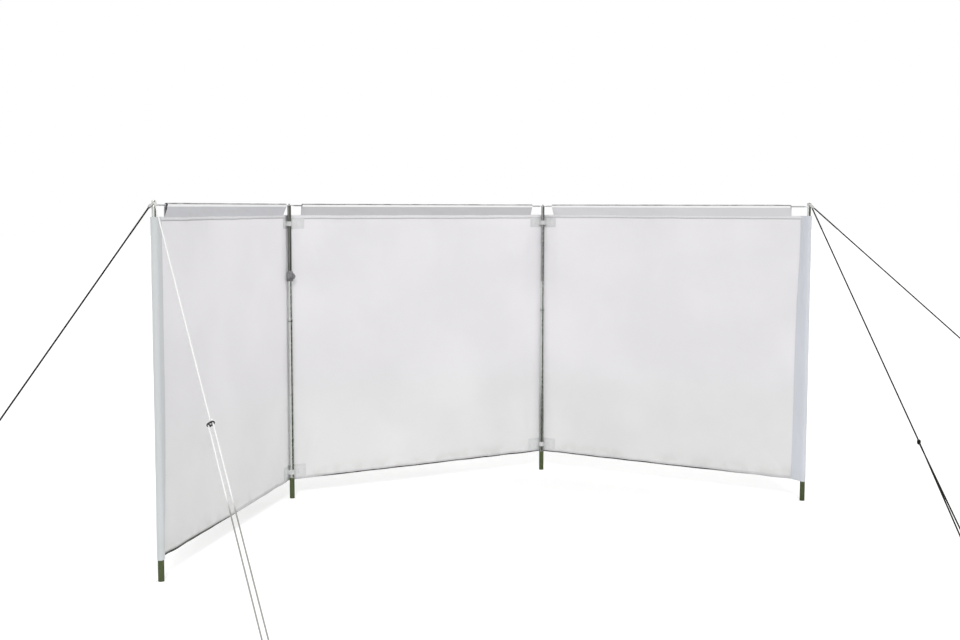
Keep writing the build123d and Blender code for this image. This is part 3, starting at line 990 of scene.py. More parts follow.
def grow(name, routes, tree, values, material, stands_for=()):
    """A piece that a node tree makes along routes."""
    mesh = bpy.data.meshes.new(name + "_routes")
    mesh.from_pydata(routes.points, routes.edges, [])
    base = link_object(name + "_base", mesh)
    modifier = base.modifiers.new("grow", "NODES")
    modifier.node_group = tree
    for item in tree.interface.items_tree:
        if item.in_out == "INPUT" and item.name in values:
            modifier[item.identifier] = values[item.name]
    grown = final_mesh(base)
    bpy.data.objects.remove(base)
    grown.name = name
    return dress(link_object(name, grown), material, stands_for, 180.0)


STITCH_PITCH = 4.2 * MM
stitches = stitch_tree()


def sew(name, routes, pitch_along=STITCH_PITCH):
    """Rows of stitches as one piece."""
    values = {"Thread": thread, "Pitch": pitch_along}
    return grow(name, routes, stitches, values, thread)


# ---------------------------------------------------------------- bays
def make_bay(index):
    """One bay's cloth, with its folded hem, the band below its seam and their stitches."""
    side = SIDES[index]
    start, end = bay_starts[index], bay_ends[index]
    tucked = TUCKED[index]
    first = start - 6 * MM - tucked if index == 0 else start
    last = end + 6 * MM + tucked if index == 2 else end
    along = stations(first, last, CLOTH_STEPS[0], 2 * MM, 24 * MM)
    height = stations(hem + 1 * MM, seam + 1.5 * MM, CLOTH_STEPS[1], 1.5 * MM, 17 * MM)
    a, h = np.meshgrid(along, height)
    cloth = Shape()
    add_sheet(cloth, cloth_points(a, h), CLOTH / 2, np.stack([a, h], -1))
    panel = make_piece(f"cloth_{side}", cloth, panel_cloth, [f"fabric_panel_{side}"])

    bands = Shape()
    path = stations(first, last, 7.6 * MM, 2 * MM, 24 * MM)
    width = BAND_WIDTHS[index]
    band_base = seam - BAND_TOP - width
    top_band = [(width - a, b) for a, b in wrap_section(width, 1.9 * MM, 0.7 * MM)]
    add_band(bands, path, band_base, LEVEL, top_band)
    add_band(bands, path, hem, LEVEL, wrap_section(HEM_WIDTH, 1.35 * MM, 0.75 * MM))
    band = make_piece(f"hems_{side}", bands, band_cloth)

    rows = Routes()
    for face in (-1, 1):
        for level, lift in (
            (band_base + 2.2 * MM, 1.2 * MM),
            (band_base + width - 4 * MM, 1.95 * MM),
            (hem + HEM_WIDTH - 2 * MM, 1.25 * MM),
        ):
            rows.on_cloth([first, last], [level, level], face * lift)
    sewn = sew(f"hem_stitches_{side}", rows)


for index in range(3):
    make_bay(index)

# ---------------------------------------------------------------- sleeves and tunnels
SLEEVE_RADIUS = ROD_RADIUS + 0.9 * MM  # of the sleeve's cloth round the rod
TUNNEL_RADIUS = TUBE_RADII[0] + RIM_PROUD + 0.6 * MM  # and of the tunnel's round the pole
SLEEVE_REACH = ridge - seam + 5 * MM  # from the rod's axis to the edges of the sleeve's cloth
TUNNEL_REACH = TUNNEL_SEAM + 4 * MM  # and from an end pole's axis to those of its tunnel's
MOUTHS = (  # (top, bottom) of each ridge sleeve's two mouths, from the pole's axis
    ((111 * MM, 88 * MM), (52 * MM, 84 * MM)),
    ((70 * MM, 64 * MM), (72 * MM, 80 * MM)),
    ((59 * MM, 67 * MM), (93 * MM, 88 * MM)),
)
CUFF = 11 * MM  # hem at a sleeve's mouth


def teardrop(radius, reach, tip, flank, rounded):
    """(reach, side) section of cloth round a rod, from one seam edge over the rod to the other.

    The third row is 0 at the seam and 1 where the cloth lies on the rod.
    """
    turn = math.atan2(tip, reach) + math.acos(radius / math.hypot(reach, tip))
    touch = np.array([radius * math.cos(turn), radius * math.sin(turn)])
    share = np.linspace(0, 1, flank)
    near = np.outer(1 - share, (reach, -tip)) + np.outer(share, (touch[0], -touch[1]))
    arc = np.linspace(-turn, turn - 2 * math.pi, rounded)[1:-1]
    over = np.stack([radius * np.cos(arc), radius * np.sin(arc)], -1)
    far = near[::-1] * (1, -1)
    held = np.concatenate([share, np.ones(len(arc)), share[::-1]])
    section = np.concatenate([near, over, far])
    return section[:, 0], section[:, 1], held


class Sleeve:
    """Cloth sewn round a rod or pole. Rows go round it and columns along it.

    put(travel, out, side, held) gives the points of the rows' places, travel along the sleeve.
    """

    def __init__(self, section, flutter, seed, put, upright_map=False):
        out, side, held = section
        self.out, self.side, self.held = out[:, None], side[:, None], held[:, None]
        self.girth = lengths_along(np.stack([out, side], -1))[:, None]
        self.rise = (out.max() - self.out) / (out.max() - out.min())  # 0 at the seam, 1 across it
        self.flutter, self.put, self.upright_map = flutter, put, upright_map
        self.near = Waves(seed, 16, 60 * MM, 260 * MM)
        self.far = Waves(seed + 1, 16, 60 * MM, 260 * MM)
        self.slack = Waves(seed + 2, 14, 90 * MM, 420 * MM)

    def at(self, travel, lift):
        """Points at each row for travel along the sleeve, off its own cloth by lift."""
        loose = np.sin(math.pi * np.clip(self.held, 0, 1)) * self.flutter
        ripple = np.where(self.side < 0, -self.near.over(travel, self.girth * 2.2),
                          self.far.over(travel, self.girth * 2.2))
        round_slack = (self.held == 1) * 0.35 * MM * (1 + self.slack.over(travel, self.girth * 3))
        run, rise = np.gradient(self.out[:, 0])[:, None], np.gradient(self.side[:, 0])[:, None]
        length = np.hypot(run, rise)
        off = lift + np.maximum(round_slack, 0)
        out = self.out + rise / length * off
        side = self.side + -run / length * off + loose * ripple
        return self.put(travel, out, side, np.broadcast_to(self.held, travel.shape))

    def add_to(self, shape, travel, lift, half):
        """A sheet of this sleeve's cloth."""
        places = [travel, np.broadcast_to(self.girth, travel.shape)]
        if self.upright_map:
            places = places[::-1]
        add_sheet(shape, self.at(travel, lift), half, np.stack(places, -1))

    def finish_mouths(self, mouths, cuff, lift, half):
        """The cuffs at both mouths, with a row of stitches each."""
        cuffs, rows = Shape(), Routes()
        for mouth, inward in zip(mouths, (1, -1)):
            self.add_to(cuffs, mouth + inward * np.linspace(-0.3 * MM, cuff, 5), lift, half)
            rows.add(self.at(mouth + inward * (cuff - 2 * MM), lift + half + 0.15 * MM)[:, 0])
        return cuffs, rows


def ridge_place(index, travel, out, side, held):
    """Points of a ridge sleeve; travel is along the bay from its first pole."""
    along = along_at(index, travel)
    foot = cloth_points(along, seam - 1 * MM)
    off = (foot[..., :2] - poles[index]) @ winds[index]
    side = side + off * (1 - held)
    flat = poles[index] + travel[..., None] * directions[index] + side[..., None] * winds[index]
    level = ridge - out + (foot[..., 2] - seam + 1 * MM) * (1 - held)
    return np.concatenate([flat, level[..., None]], -1)


def narrowing(index, height):
    """How much an end tunnel is taken in: the left one at its foot, the right one at its top."""
    heights, taken_in = NARROWINGS[index]
    return np.interp(height, heights, np.array(taken_in) * MM)


def tunnel_seam(index, height):
    """Where the cloth meets an end tunnel, along the cloth."""
    if index == 0:
        return TUNNEL_SEAM - narrowing(0, height)
    return corners[3] - TUNNEL_SEAM + narrowing(2, height)


def tunnel_place(index, height, out, side, held):
    """Points of an end tunnel; index is 0 for the left pole and 2 for the right one."""
    pole = poles[0] if index == 0 else poles[3]
    inwards = directions[0] if index == 0 else -directions[2]
    foot = cloth_points(tunnel_seam(index, height), height)
    taken = np.clip((out - TUNNEL_RADIUS) / (TUNNEL_REACH - TUNNEL_RADIUS), 0, 1)
    out = out - narrowing(index, height) * taken
    off = (foot[..., :2] - pole) @ winds[index]
    side = side + off * (1 - held)
    flat = pole + out[..., None] * inwards + side[..., None] * winds[index]
    return np.concatenate([flat, height[..., None]], -1)


def make_ridge_sleeve(index):
    """The cloth round a ridge rod, with a cuff at each of its slanted mouths."""
    name, finish = SIDES[index], sleeve_cloths[index]
    section = teardrop(SLEEVE_RADIUS, SLEEVE_REACH, 0.8 * MM, 13, 15)
    sleeve = Sleeve(section, 0.55 * MM, 40 + 5 * index, lambda *rows: ridge_place(index, *rows))
    (start_top, start_low), (end_top, end_low) = MOUTHS[index]
    first = start_low + (start_top - start_low) * sleeve.rise
    last = pitch - end_low - (end_top - end_low) * sleeve.rise
    share = stations(0, 1, SLEEVE_STEP / pitch, 2 * MM / pitch, 10 * MM / pitch)
    body = Shape()
    sleeve.add_to(body, first + share * (last - first), 0.0, CLOTH / 2)
    piece = make_piece(
        f"ridge_sleeve_cloth_{name}", body, finish, [f"ridge_sleeve_{name}"]
    )
    cuffs, rows = sleeve.finish_mouths((first, last), CUFF, 0.75 * MM, 0.4 * MM)
    cuff = make_piece(f"ridge_sleeve_cuffs_{name}", cuffs, finish)
    sewn = sew(f"ridge_sleeve_stitches_{name}", rows)


def make_tunnel(index):
    """The cloth round an end pole, with its hems and the strips along its seam."""
    name, finish = SIDES[index], tunnel_cloths[index]
    pole, inner = (1, 1) if index == 0 else (4, -1)
    section = teardrop(TUNNEL_RADIUS, TUNNEL_REACH, 0.8 * MM, 10, 19)
    sleeve = Sleeve(
        section, 0.8 * MM, 60 + 5 * index, lambda *rows: tunnel_place(index, *rows), True
    )
    drop, round_drop = TUNNEL_DROPS[index]
    low = hem - (drop + round_drop * sleeve.rise)
    high = np.full_like(low, seam + 1.5 * MM)
    length = seam - hem
    share = stations(0, 1, TUNNEL_STEP / length, 2 * MM / length, 10 * MM / length)
    body = Shape()
    sleeve.add_to(body, low + share * (high - low), 0.0, CLOTH / 2)
    piece = make_piece(f"tunnel_{name}", body, finish, [f"end_sleeve_{name}"])
    cuffs, rows = sleeve.finish_mouths((low, high), HEM_WIDTH, 0.8 * MM, 0.45 * MM)
    path = stations(hem + 0.5 * MM, seam + 1 * MM, 9 * MM, 2 * MM, 10 * MM)
    row = np.linspace(hem + 3 * MM, seam - 2 * MM, 60)
    for face in (-1, 1):
        strip = flat_section(12 * MM, face * 0.3 * MM, face * 1.5 * MM)
        add_band(cuffs, tunnel_seam(index, path) + inner * 1 * MM, path, UPRIGHT, strip)
        for offset in (-3, 5):
            rows.on_cloth(tunnel_seam(index, row) + inner * offset * MM, row, face * 1.6 * MM)
    cuff = make_piece(f"tunnel_hems_{name}", cuffs, finish)
    sewn = sew(f"tunnel_stitches_{name}", rows)


for index in range(3):
    make_ridge_sleeve(index)
for index in (0, 2):
    make_tunnel(index)


# ---------------------------------------------------------------- patches and straps
STRAP_ROOT = 20.5 * MM  # from the pole's axis, where a strap comes out through its patch
STRAP_TAIL = 34 * MM  # sewn down between the patch and the cloth
FELL_WIDTH = 14 * MM
PATCH_STITCH_PITCH = 3.6 * MM


def root_offset(index, side, level):
    """How far along the cloth from the corner a strap's root is."""
    offsets = np.linspace(2 * MM, 40 * MM, 400)
    points = cloth_points(corners[index] + side * offsets, level)[:, :2]
    return float(offsets[np.argmax(np.linalg.norm(points - poles[index], axis=1) > STRAP_ROOT)])


def make_patch(pole, level, index):
    """A patch sewn on the lee face behind an inner pole, over the tails of its strap."""
    node = f"pole_{pole}_{level}_patch"
    low, high = levels_of(node)
    strap_low, strap_high = levels_of(f"pole_{pole}_{level}_strap")
    if level == "bottom":
        low = hem + HEM_WIDTH - 4 * MM
    corner, middle = corners[index], (low + high) / 2
    roots = [root_offset(index, side, middle) for side in (-1, 1)]
    along = stations(corner - PATCH_HALF, corner + PATCH_HALF, 3.2 * MM, 1.5 * MM, 3 * MM)
    height = stations(low, high, 2.4 * MM, 1.2 * MM, 3 * MM)
    a, h = np.meshgrid(along, height)
    side_room = np.minimum(a - along[0], along[-1] - a)
    across = a - corner
    tail = np.where(across < 0, -across - roots[0], across - roots[1])
    over_tail = ease(-2 * MM, 2 * MM, tail) * ease(STRAP_TAIL + 5 * MM, STRAP_TAIL, tail)
    strap_half = (strap_high - strap_low) / 2
    over_tail = over_tail * ease(-4 * MM, 1 * MM, strap_half - np.abs(h - middle))
    h = h + (high + low - 2 * h) / (high - low) * 2.5 * MM * (1 - ease(0, 4 * MM, side_room))
    face = -CLOTH / 2 - PATCH_THICKNESS / 2 - 0.85 * STRAP_THICKNESS * over_tail
    shape = Shape()
    add_sheet(shape, cloth_points(a, h, face), PATCH_THICKNESS / 2, np.stack([a, h], -1))
    patch = make_piece(f"patch_{pole}_{level}", shape, patch_cloth, [node])
    rows, lift = Routes(), -CLOTH / 2 - PATCH_THICKNESS - 0.12 * MM
    left, right = corner - PATCH_HALF, corner + PATCH_HALF
    for edge in (4 * MM, 8.5 * MM):
        ring_a = [left + edge, right - edge, right - edge, left + edge, left + edge]
        ring_h = [low + edge, low + edge, high - edge, high - edge, low + edge]
        rows.on_cloth(ring_a, ring_h, lift)
    raised = lift - 0.85 * STRAP_THICKNESS
    bottom, top = middle - strap_half + 3 * MM, middle + strap_half - 3 * MM
    outer_low, outer_high = low + 12 * MM, high - 12 * MM
    for side, root in zip((-1, 1), roots):
        near, far = corner + side * (root + 4 * MM), corner + side * (root + STRAP_TAIL - 3 * MM)
        box_a = [near, far, far, near, near, far, far, near]
        rows.on_cloth(box_a, [bottom, bottom, top, top, bottom, top, bottom, top], raised, 3 * MM)
        outer = corner + side * (PATCH_HALF - 14 * MM)
        rows.on_cloth([far, outer], [top, outer_high], lift)
        rows.on_cloth([far, outer], [bottom, outer_low], lift)
        rows.on_cloth([outer, outer], [outer_low, outer_high], lift)
    sewn = sew(f"patch_stitches_{pole}_{level}", rows, PATCH_STITCH_PITCH)
    return middle


def strap_line(index, radius, level):
    """The strap's centre line in plan, from one sewn tail round the pole to the other."""
    pole, corner = poles[index], corners[index]
    lift = -CLOTH / 2 - STRAP_THICKNESS / 2 - 0.05 * MM
    legs = []
    front = -(winds[index - 1] + winds[index])
    front_turn = math.atan2(front[1], front[0])
    for side in (-1, 1):
        offsets = root_offset(index, side, level) + np.linspace(0, STRAP_TAIL, 18)
        tail = cloth_points(corner + side * offsets, level, lift)[:, :2]
        root = tail[0] - pole
        away = math.atan2(root[1], root[0])
        spread = math.acos(radius / np.linalg.norm(root))
        back = (front_turn - away + math.pi) % (2 * math.pi) - math.pi
        legs.append((tail[::-1], front_turn - back + math.copysign(spread, back)))
    (left_tail, left_turn), (right_tail, right_turn) = legs
    turns = np.linspace(left_turn, right_turn, 26)
    wrap = pole + radius * np.stack([np.cos(turns), np.sin(turns)], -1)
    return np.concatenate([left_tail, wrap, right_tail[::-1]])


def make_felled_seam(pole, index):
    """The strip over the join of two bays, on the windward face behind an inner pole."""
    shape, rows = Shape(), Routes()
    path = stations(hem + HEM_WIDTH + 1 * MM, seam - BAND_WIDTHS[1], 9 * MM, 2 * MM, 10 * MM)
    strip = flat_section(FELL_WIDTH, CLOTH / 2, CLOTH / 2 + 0.9 * MM)
    add_band(shape, corners[index], path, UPRIGHT, strip)
    for offset in (-1, 1):
        place = corners[index] + offset * (FELL_WIDTH / 2 - 1.8 * MM)
        rows.on_cloth([place] * 2, [path[0] + 1 * MM, path[-1] - 1 * MM], CLOTH / 2 + 1.0 * MM)
    make_piece(f"felled_seam_{pole}", shape, panel_cloth)
    sew(f"felled_seam_stitches_{pole}", rows)


def make_strap(pole, level, index, radius, middle):
    """Webbing round an inner pole, its two tails behind the patch."""
    node = f"pole_{pole}_{level}_strap"
    bottom, top = levels_of(node)
    shift = middle + float(sway(corners[index], middle)) - (bottom + top) / 2
    bottom, top = bottom + shift, top + shift
    route = strap_line(index, radius + 0.3 * MM + STRAP_THICKNESS / 2, middle)
    travelled = lengths_along(route)
    at = np.linspace(0, travelled[-1], int(travelled[-1] / (1.6 * MM)))
    line = np.stack([np.interp(at, travelled, route[:, axis]) for axis in (0, 1)], -1)
    across = stations(bottom, top, 2.6 * MM, 0.7 * MM, 1 * MM)
    run = np.gradient(line, axis=0)
    run /= np.linalg.norm(run, axis=1, keepdims=True)
    inwards = np.stack([-run[:, 1], run[:, 0]], -1)
    creases = Waves(90 + pole, 9, 9 * MM, 30 * MM)
    loose = ease(STRAP_TAIL + 1 * MM, STRAP_TAIL + 10 * MM, np.minimum(at, at[-1] - at))
    a, h = np.meshgrid(at, across)
    ripple = 0.28 * MM * creases.over(a, h) * loose[None, :]
    edge = 0.35 * MM * (1 - ease(0, 1.6 * MM, np.minimum(h - bottom, top - h)))
    plan = line[None, :, :] + inwards[None, :, :] * (ripple + edge)[..., None]
    pinch = 1 - 0.1 * loose[None, :] * (1 if level == "top" else 0.6)
    centre = (bottom + top) / 2
    grid = np.concatenate([plan, (centre + (h - centre) * pinch)[..., None]], -1)
    shape = Shape()
    add_sheet(shape, grid, STRAP_THICKNESS / 2, np.stack([a, h], -1))
    make_piece(f"strap_{pole}_{level}", shape, webbing, [node])


for pole in (2, 3):
    for level, radius in (("top", TUBE_RADII[2]), ("bottom", TUBE_RADII[0])):
        make_strap(pole, level, pole - 1, radius, make_patch(pole, level, pole - 1))
    make_felled_seam(pole, pole - 1)


# ---------------------------------------------------------------- poles and rods
def rounded(profile, radius=0.3 * MM, steps=3):
    """A closed (radius, height) profile with its corners rounded."""
    result = []
    count = len(profile)
    for index in range(count):
        point = np.array(profile[index])
        before = np.array(profile[index - 1]) - point
        after = np.array(profile[(index + 1) % count]) - point
        cut = min(radius, 0.45 * np.linalg.norm(before), 0.45 * np.linalg.norm(after))
        start = point + before / np.linalg.norm(before) * cut
        end = point + after / np.linalg.norm(after) * cut
        for share in np.linspace(0, 1, steps + 1).tolist():
            near, at, beyond = (1 - share) ** 2, 2 * share * (1 - share), share**2
            result.append(tuple(near * start + at * point + beyond * end))
    return result


def divided(profile, longest):
    """The profile with its long runs divided, so that faces stay well shaped."""
    result = []
    for a, b in zip(profile, profile[1:] + profile[:1]):
        parts = max(1, int(math.dist(a, b) / longest))
        for i in range(parts):
            result.append((a[0] + (b[0] - a[0]) * i / parts, a[1] + (b[1] - a[1]) * i / parts))
    return result


AXIS = 0.02 * MM  # radius where a solid end closes round its axis
PLUG = 25 * MM  # depth of the plug that closes a tube's end


def tube_with_rim(name, pole, radius, foot=False):
    """A tube with a rolled rim at its mouth; a foot closes it below."""
    node = f"pole_{pole}_{name}_tube"
    low, high = levels_of(node)
    if foot:
        low = 0.0
    inner, rim = radius - TUBE_WALL, radius + RIM_PROUD
    profile = [
        (radius, low), (radius, high - 6.2 * MM), (rim - 0.35 * MM, high - 5.3 * MM),
        (rim, high - 4.2 * MM), (rim, high - 1.6 * MM), (rim - 0.4 * MM, high - 0.5 * MM),
        (radius, high), (inner, high),
    ]
    if foot:
        profile += [(inner, low + PLUG), (AXIS, low + PLUG), (AXIS, low)]
    else:
        profile.append((inner, low))
    shape = Shape()
    turned = divided(rounded(profile, 0.35 * MM), 60 * MM)
    add_lathe(shape, turned, upright(*poles[pole - 1]))
    finish = foot_steel if pole == 3 and foot else tube_steel
    make_piece(f"tube_{name}_{pole}", shape, finish, [node])


def top_tube(pole):
    """The top tube with its plug and the pin for the rods' eyes and the guys."""
    low, pin_tip = levels_of(f"pole_{pole}_top_tube")
    radius, shoulder = TUBE_RADII[2], ridge - EYE_THICKNESS
    inner = radius - TUBE_WALL
    profile = [
        (inner, low), (radius, low), (radius, shoulder), (PIN_RADIUS, shoulder),
        (PIN_RADIUS, pin_tip - PIN_RADIUS / 2), (PIN_RADIUS / 2, pin_tip), (AXIS, pin_tip),
        (AXIS, shoulder - PLUG), (inner, shoulder - PLUG),
    ]
    shape = Shape()
    add_lathe(shape, divided(rounded(profile, 0.6 * MM), 60 * MM), upright(*poles[pole - 1]))
    finish = {2: steel_dark_reflection, 3: steel_dim_reflection}.get(pole, tube_steel)
    make_piece(f"tube_top_{pole}", shape, finish, [f"pole_{pole}_top_tube"])


for number in (1, 2, 3, 4):
    tube_with_rim("lower", number, TUBE_RADII[0], foot=True)
    tube_with_rim("middle", number, TUBE_RADII[1])
    top_tube(number)


ROD_IN_SLEEVE = 28 * MM  # of the thicker tube's end, from the sleeve's mouth
EYE_RINGS = (4.6, 6, 9, 12, 15, 18, 21, 25, 30, 40)  # millimetres from the pole's axis


def make_rod(index):
    """A ridge rod: tube, a thinner bar at each end, and its flattened eyes over the pins."""
    along = Vector((*directions[index], 0))
    side = Vector((-along.y, along.x, 0))
    axis = place_matrix((0, 0, 1), along, Vector((*poles[index], ridge)))
    near = MOUTHS[index][0][0] + ROD_IN_SLEEVE
    far = pitch - MOUTHS[index][1][0] - ROD_IN_SLEEVE
    shape = Shape()
    inner = BAR_RADIUS - 0.02 * MM
    profile = [(inner, near), (ROD_RADIUS, near), (ROD_RADIUS, far), (inner, far)]
    add_lathe(shape, divided(rounded(profile, 1.2 * MM, 4), 60 * MM), axis, 32)
    level = ridge if index == 1 else ridge - EYE_THICKNESS
    top = level + EYE_THICKNESS
    widening = EYE_RADIUS - 0.5 * MM - BAR_RADIUS
    for pole, way, end in ((index, 1, near), (index + 1, -1, pitch - far)):
        origin = Vector((*poles[pole], 0))
        rings = []
        for distance in (*EYE_RINGS, end / MM):
            flat = 1 - float(ease(10, 27, distance))
            width = BAR_RADIUS + flat * widening * (1 if distance > 9 else 0.9)
            if distance < 9:
                width = 7.2 * MM
            thick = BAR_RADIUS + flat * (EYE_THICKNESS / 2 - 0.1 * MM - BAR_RADIUS)
            middle = ridge + flat * (level + EYE_THICKNESS / 2 - ridge)
            power = 1 - 0.45 * flat
            ring = []
            for turn in np.linspace(0, 2 * math.pi, 24, endpoint=False):
                rise = middle + thick * squared(math.sin(turn), power)
                ring.append(
                    origin + along * way * distance * MM
                    + side * width * squared(math.cos(turn), power) + Vector((0, 0, rise))
                )
            rings.append([list(point) for point in ring])
        add_loft(shape, rings)
        hole = PIN_RADIUS + 0.3 * MM
        ring = [(hole, level), (EYE_RADIUS, level), (EYE_RADIUS, top), (hole, top)]
        add_lathe(shape, rounded(ring, 0.9 * MM, 4), upright(*poles[pole]), 40)
    make_piece(f"rod_{SIDES[index]}", shape, rod_steel, [f"ridge_rod_{SIDES[index]}"])


for index in range(3):
    make_rod(index)


# ---------------------------------------------------------------- clamp on pole 2
clamp_level = float(middle_of("pole_2_clamp")[2])
clamp_low, clamp_high = levels_of("pole_2_clamp")
clamp_half = (clamp_high - clamp_low) / 2
knob_low, knob_high = (np.array(corner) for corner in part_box("pole_2_clamp_knob"))
CLAMP_RADIUS = 17 * MM
EAR_HALF = 11.5 * MM  # of both ears and the slot between them
EAR_GAP = 1.5 * MM  # half of the slot
KNOB_RADIUS = 13 * MM
KNOB_LENGTH = 15 * MM
ear_middle = (knob_low + knob_high)[:2] / 2 - poles[1]


def clamp_forward():
    """The ears' direction: the one that puts the knob's box where the frame has it."""
    root = math.sqrt(CLAMP_RADIUS**2 - EAR_HALF**2)
    bolt = root + KNOB_RADIUS + 0.3 * MM
    best = None
    for angle in np.linspace(0, 2 * math.pi, 3600, endpoint=False):
        ahead = np.array([math.cos(angle), math.sin(angle)])
        side = np.array([ahead[1], -ahead[0]])
        middle = bolt * ahead + side * (KNOB_LENGTH - 5 * MM) / 2
        miss = float(np.linalg.norm(middle - ear_middle))
        if best is None or miss < best[0]:
            best = (miss, ahead, side)
    return bolt, best[1], best[2]


bolt_reach, ahead, aside = clamp_forward()
ahead, aside = Vector((*ahead, 0)), Vector((*aside, 0))
clamp_place = place_matrix(ahead, (0, 0, 1), (*poles[1], clamp_level))


def add_block(shape, corners_out, place):
    """A closed prism: (x, y) outline points, each with its lowest and highest z."""
    count = len(corners_out)
    low = [(x, y, z0) for x, y, z0, z1 in corners_out]
    high = [(x, y, z1) for x, y, z0, z1 in corners_out]
    faces = [list(range(count))[::-1], list(range(count, 2 * count))]
    faces += [[i, (i + 1) % count, (i + 1) % count + count, i + count] for i in range(count)]
    points = [place @ Vector(point) for point in low + high]
    shape.add([list(point) for point in points], faces)


def soften(piece, voxel, rounds):
    """One skin round shells that overlap, with its corners worn round."""
    remesh = piece.modifiers.new("skin", "REMESH")
    remesh.mode, remesh.voxel_size, remesh.adaptivity = "VOXEL", voxel, 0.0
    smooth = piece.modifiers.new("worn corners", "SMOOTH")
    smooth.factor, smooth.iterations = 0.5, rounds
    mesh = final_mesh(piece)
    piece.modifiers.clear()
    piece.data = mesh


def make_clamp():
    """The split collar with its ribs and ears, and the lobed knob on its bolt."""
    body = Shape()
    bore, top_bore = TUBE_RADII[1] + RIM_PROUD + 0.3 * MM, TUBE_RADII[2] + 0.3 * MM
    collar = [
        (bore, -clamp_half), (CLAMP_RADIUS - 1 * MM, -clamp_half),
        (CLAMP_RADIUS, -clamp_half + 4 * MM), (CLAMP_RADIUS, clamp_half - 12 * MM),
        (CLAMP_RADIUS - 3 * MM, clamp_half - 3 * MM), (CLAMP_RADIUS - 5 * MM, clamp_half),
        (top_bore, clamp_half), (top_bore, 0.3 * MM), (bore, 0.3 * MM),
    ]
    add_lathe(body, divided(rounded(collar, 1 * MM), 6 * MM), clamp_place, 56)
    reach = bolt_reach / MM + 7
    ear = ((12.5, 15), (20, 15), (reach - 5, 13), (reach - 1.5, 9), (reach, 5))
    for side in (-1, 1):
        outline = [(x * MM, side * EAR_HALF, -half * MM, half * MM) for x, half in ear]
        outline += [(x, side * EAR_GAP, low, high) for x, y, low, high in outline[::-1]]
        add_block(body, outline, clamp_place)
    rib_back = -CLAMP_RADIUS - 1.3 * MM
    rib = (
        (rib_back, 9 * MM), (rib_back, -9 * MM), (-12 * MM, -12.5 * MM), (-12 * MM, 12.5 * MM)
    )
    for level in (-7, 0, 7):
        add_block(body, [(x, y, (level - 1) * MM, (level + 1) * MM) for x, y in rib], clamp_place)
    mesh = mesh_of("tube_clamp", body)
    clean_mesh(mesh)
    piece = link_object("tube_clamp", mesh)
    soften(piece, 0.8 * MM, 3)
    dress(piece, clamp_plastic, ["pole_2_clamp"], 40)

    knob = Shape()
    bolt_middle = clamp_place @ Vector((bolt_reach, 0, 0))
    outwards = place_matrix((0, 0, 1), aside, bolt_middle)
    knob_axis, start = 0.05, EAR_HALF / MM  # millimetres from here on
    profile = [
        (knob_axis, start), (8, start), (9, start + 2), (10.6, start + 3.5), (11.8, start + 6),
        (11.8, start + 11.5), (10.2, start + 14.2), (6.5, start + 14.9), (5.8, start + 13.9),
        (knob_axis, start + 13.7),
    ]
    profile = [(radius * MM, level * MM) for radius, level in profile]
    fine = divided(rounded(profile, 0.8 * MM), 1.6 * MM)
    grip = [0.085 * float(ease(9.2 * MM, 11.4 * MM, radius)) for radius, _ in fine]
    add_lathe(knob, fine, outwards, 84, (grip, 7))
    bolt = [(knob_axis, -start - 4.6), (2.5, -start - 4.6), (2.5, start + 1), (knob_axis, start + 1)]
    bolt = [(radius * MM, level * MM) for radius, level in bolt]
    add_lathe(knob, divided(rounded(bolt, 0.4 * MM), 5 * MM), outwards, 24)
    nut = [
        (knob_axis, -start - 3.9), (5.6, -start - 3.9), (6.3, -start - 3.2), (6.3, -start - 0.7),
        (5.9, -start), (knob_axis, -start),
    ]
    nut = [(radius * MM, level * MM) for radius, level in nut]
    six = [0.07 if radius > 5 * MM else 0.0 for radius, _ in nut]
    add_lathe(knob, nut, outwards, 48, (six, 6))
    make_piece("clamp_knob", knob, clamp_plastic, ["pole_2_clamp_knob"], 34)


make_clamp()


# ---------------------------------------------------------------- guys
guy_sizes = {  # name: (pole, runner's turn about the cord, its tilt, the cord's lead into it)
    "left_windward": (0, 0.0, 20.0, 0.0),
    "left_lee": (0, 60.0, 46.0, 13.0 * MM),
    "right_windward": (3, 0.0, 20.0, 0.0),
    "right_lee": (3, -55.0, 20.0, 0.0),
}
BRAID_LENGTH = 13 * MM
BRAID_STEP = 2.0 * MM
BRAID_RELIEF = 0.09  # of the cord's radius
ROUND_CORD = 16
LOOP_NECK = 16 * MM  # where the loop's two sides meet in its knot
KNOT_CORD = 2.4 * MM  # radius of the cord in the knots
RUNNER_HALVES = (17.5 * MM, 8.5 * MM)  # its length and width
RUNNER_WINDOW = (5.2 * MM, 2.7 * MM)
RUNNER_HOLE = 3.6 * MM
RUNNER_EDGE = 0.9 * MM


def store(geometry, name, value):
    """Keeps a value on a geometry's points under a name."""
    inputs = {"Geometry": geometry, "Name": name, "Value": value}
    kind = "GeometryNodeStoreNamedAttribute"
    return value_node(kind, inputs, data_type="FLOAT", domain="POINT")


def stored(tree, name):
    """The value kept under a name."""
    kind = "GeometryNodeInputNamedAttribute"
    return add_node(tree, kind, {"Name": name}, data_type="FLOAT").outputs[0]


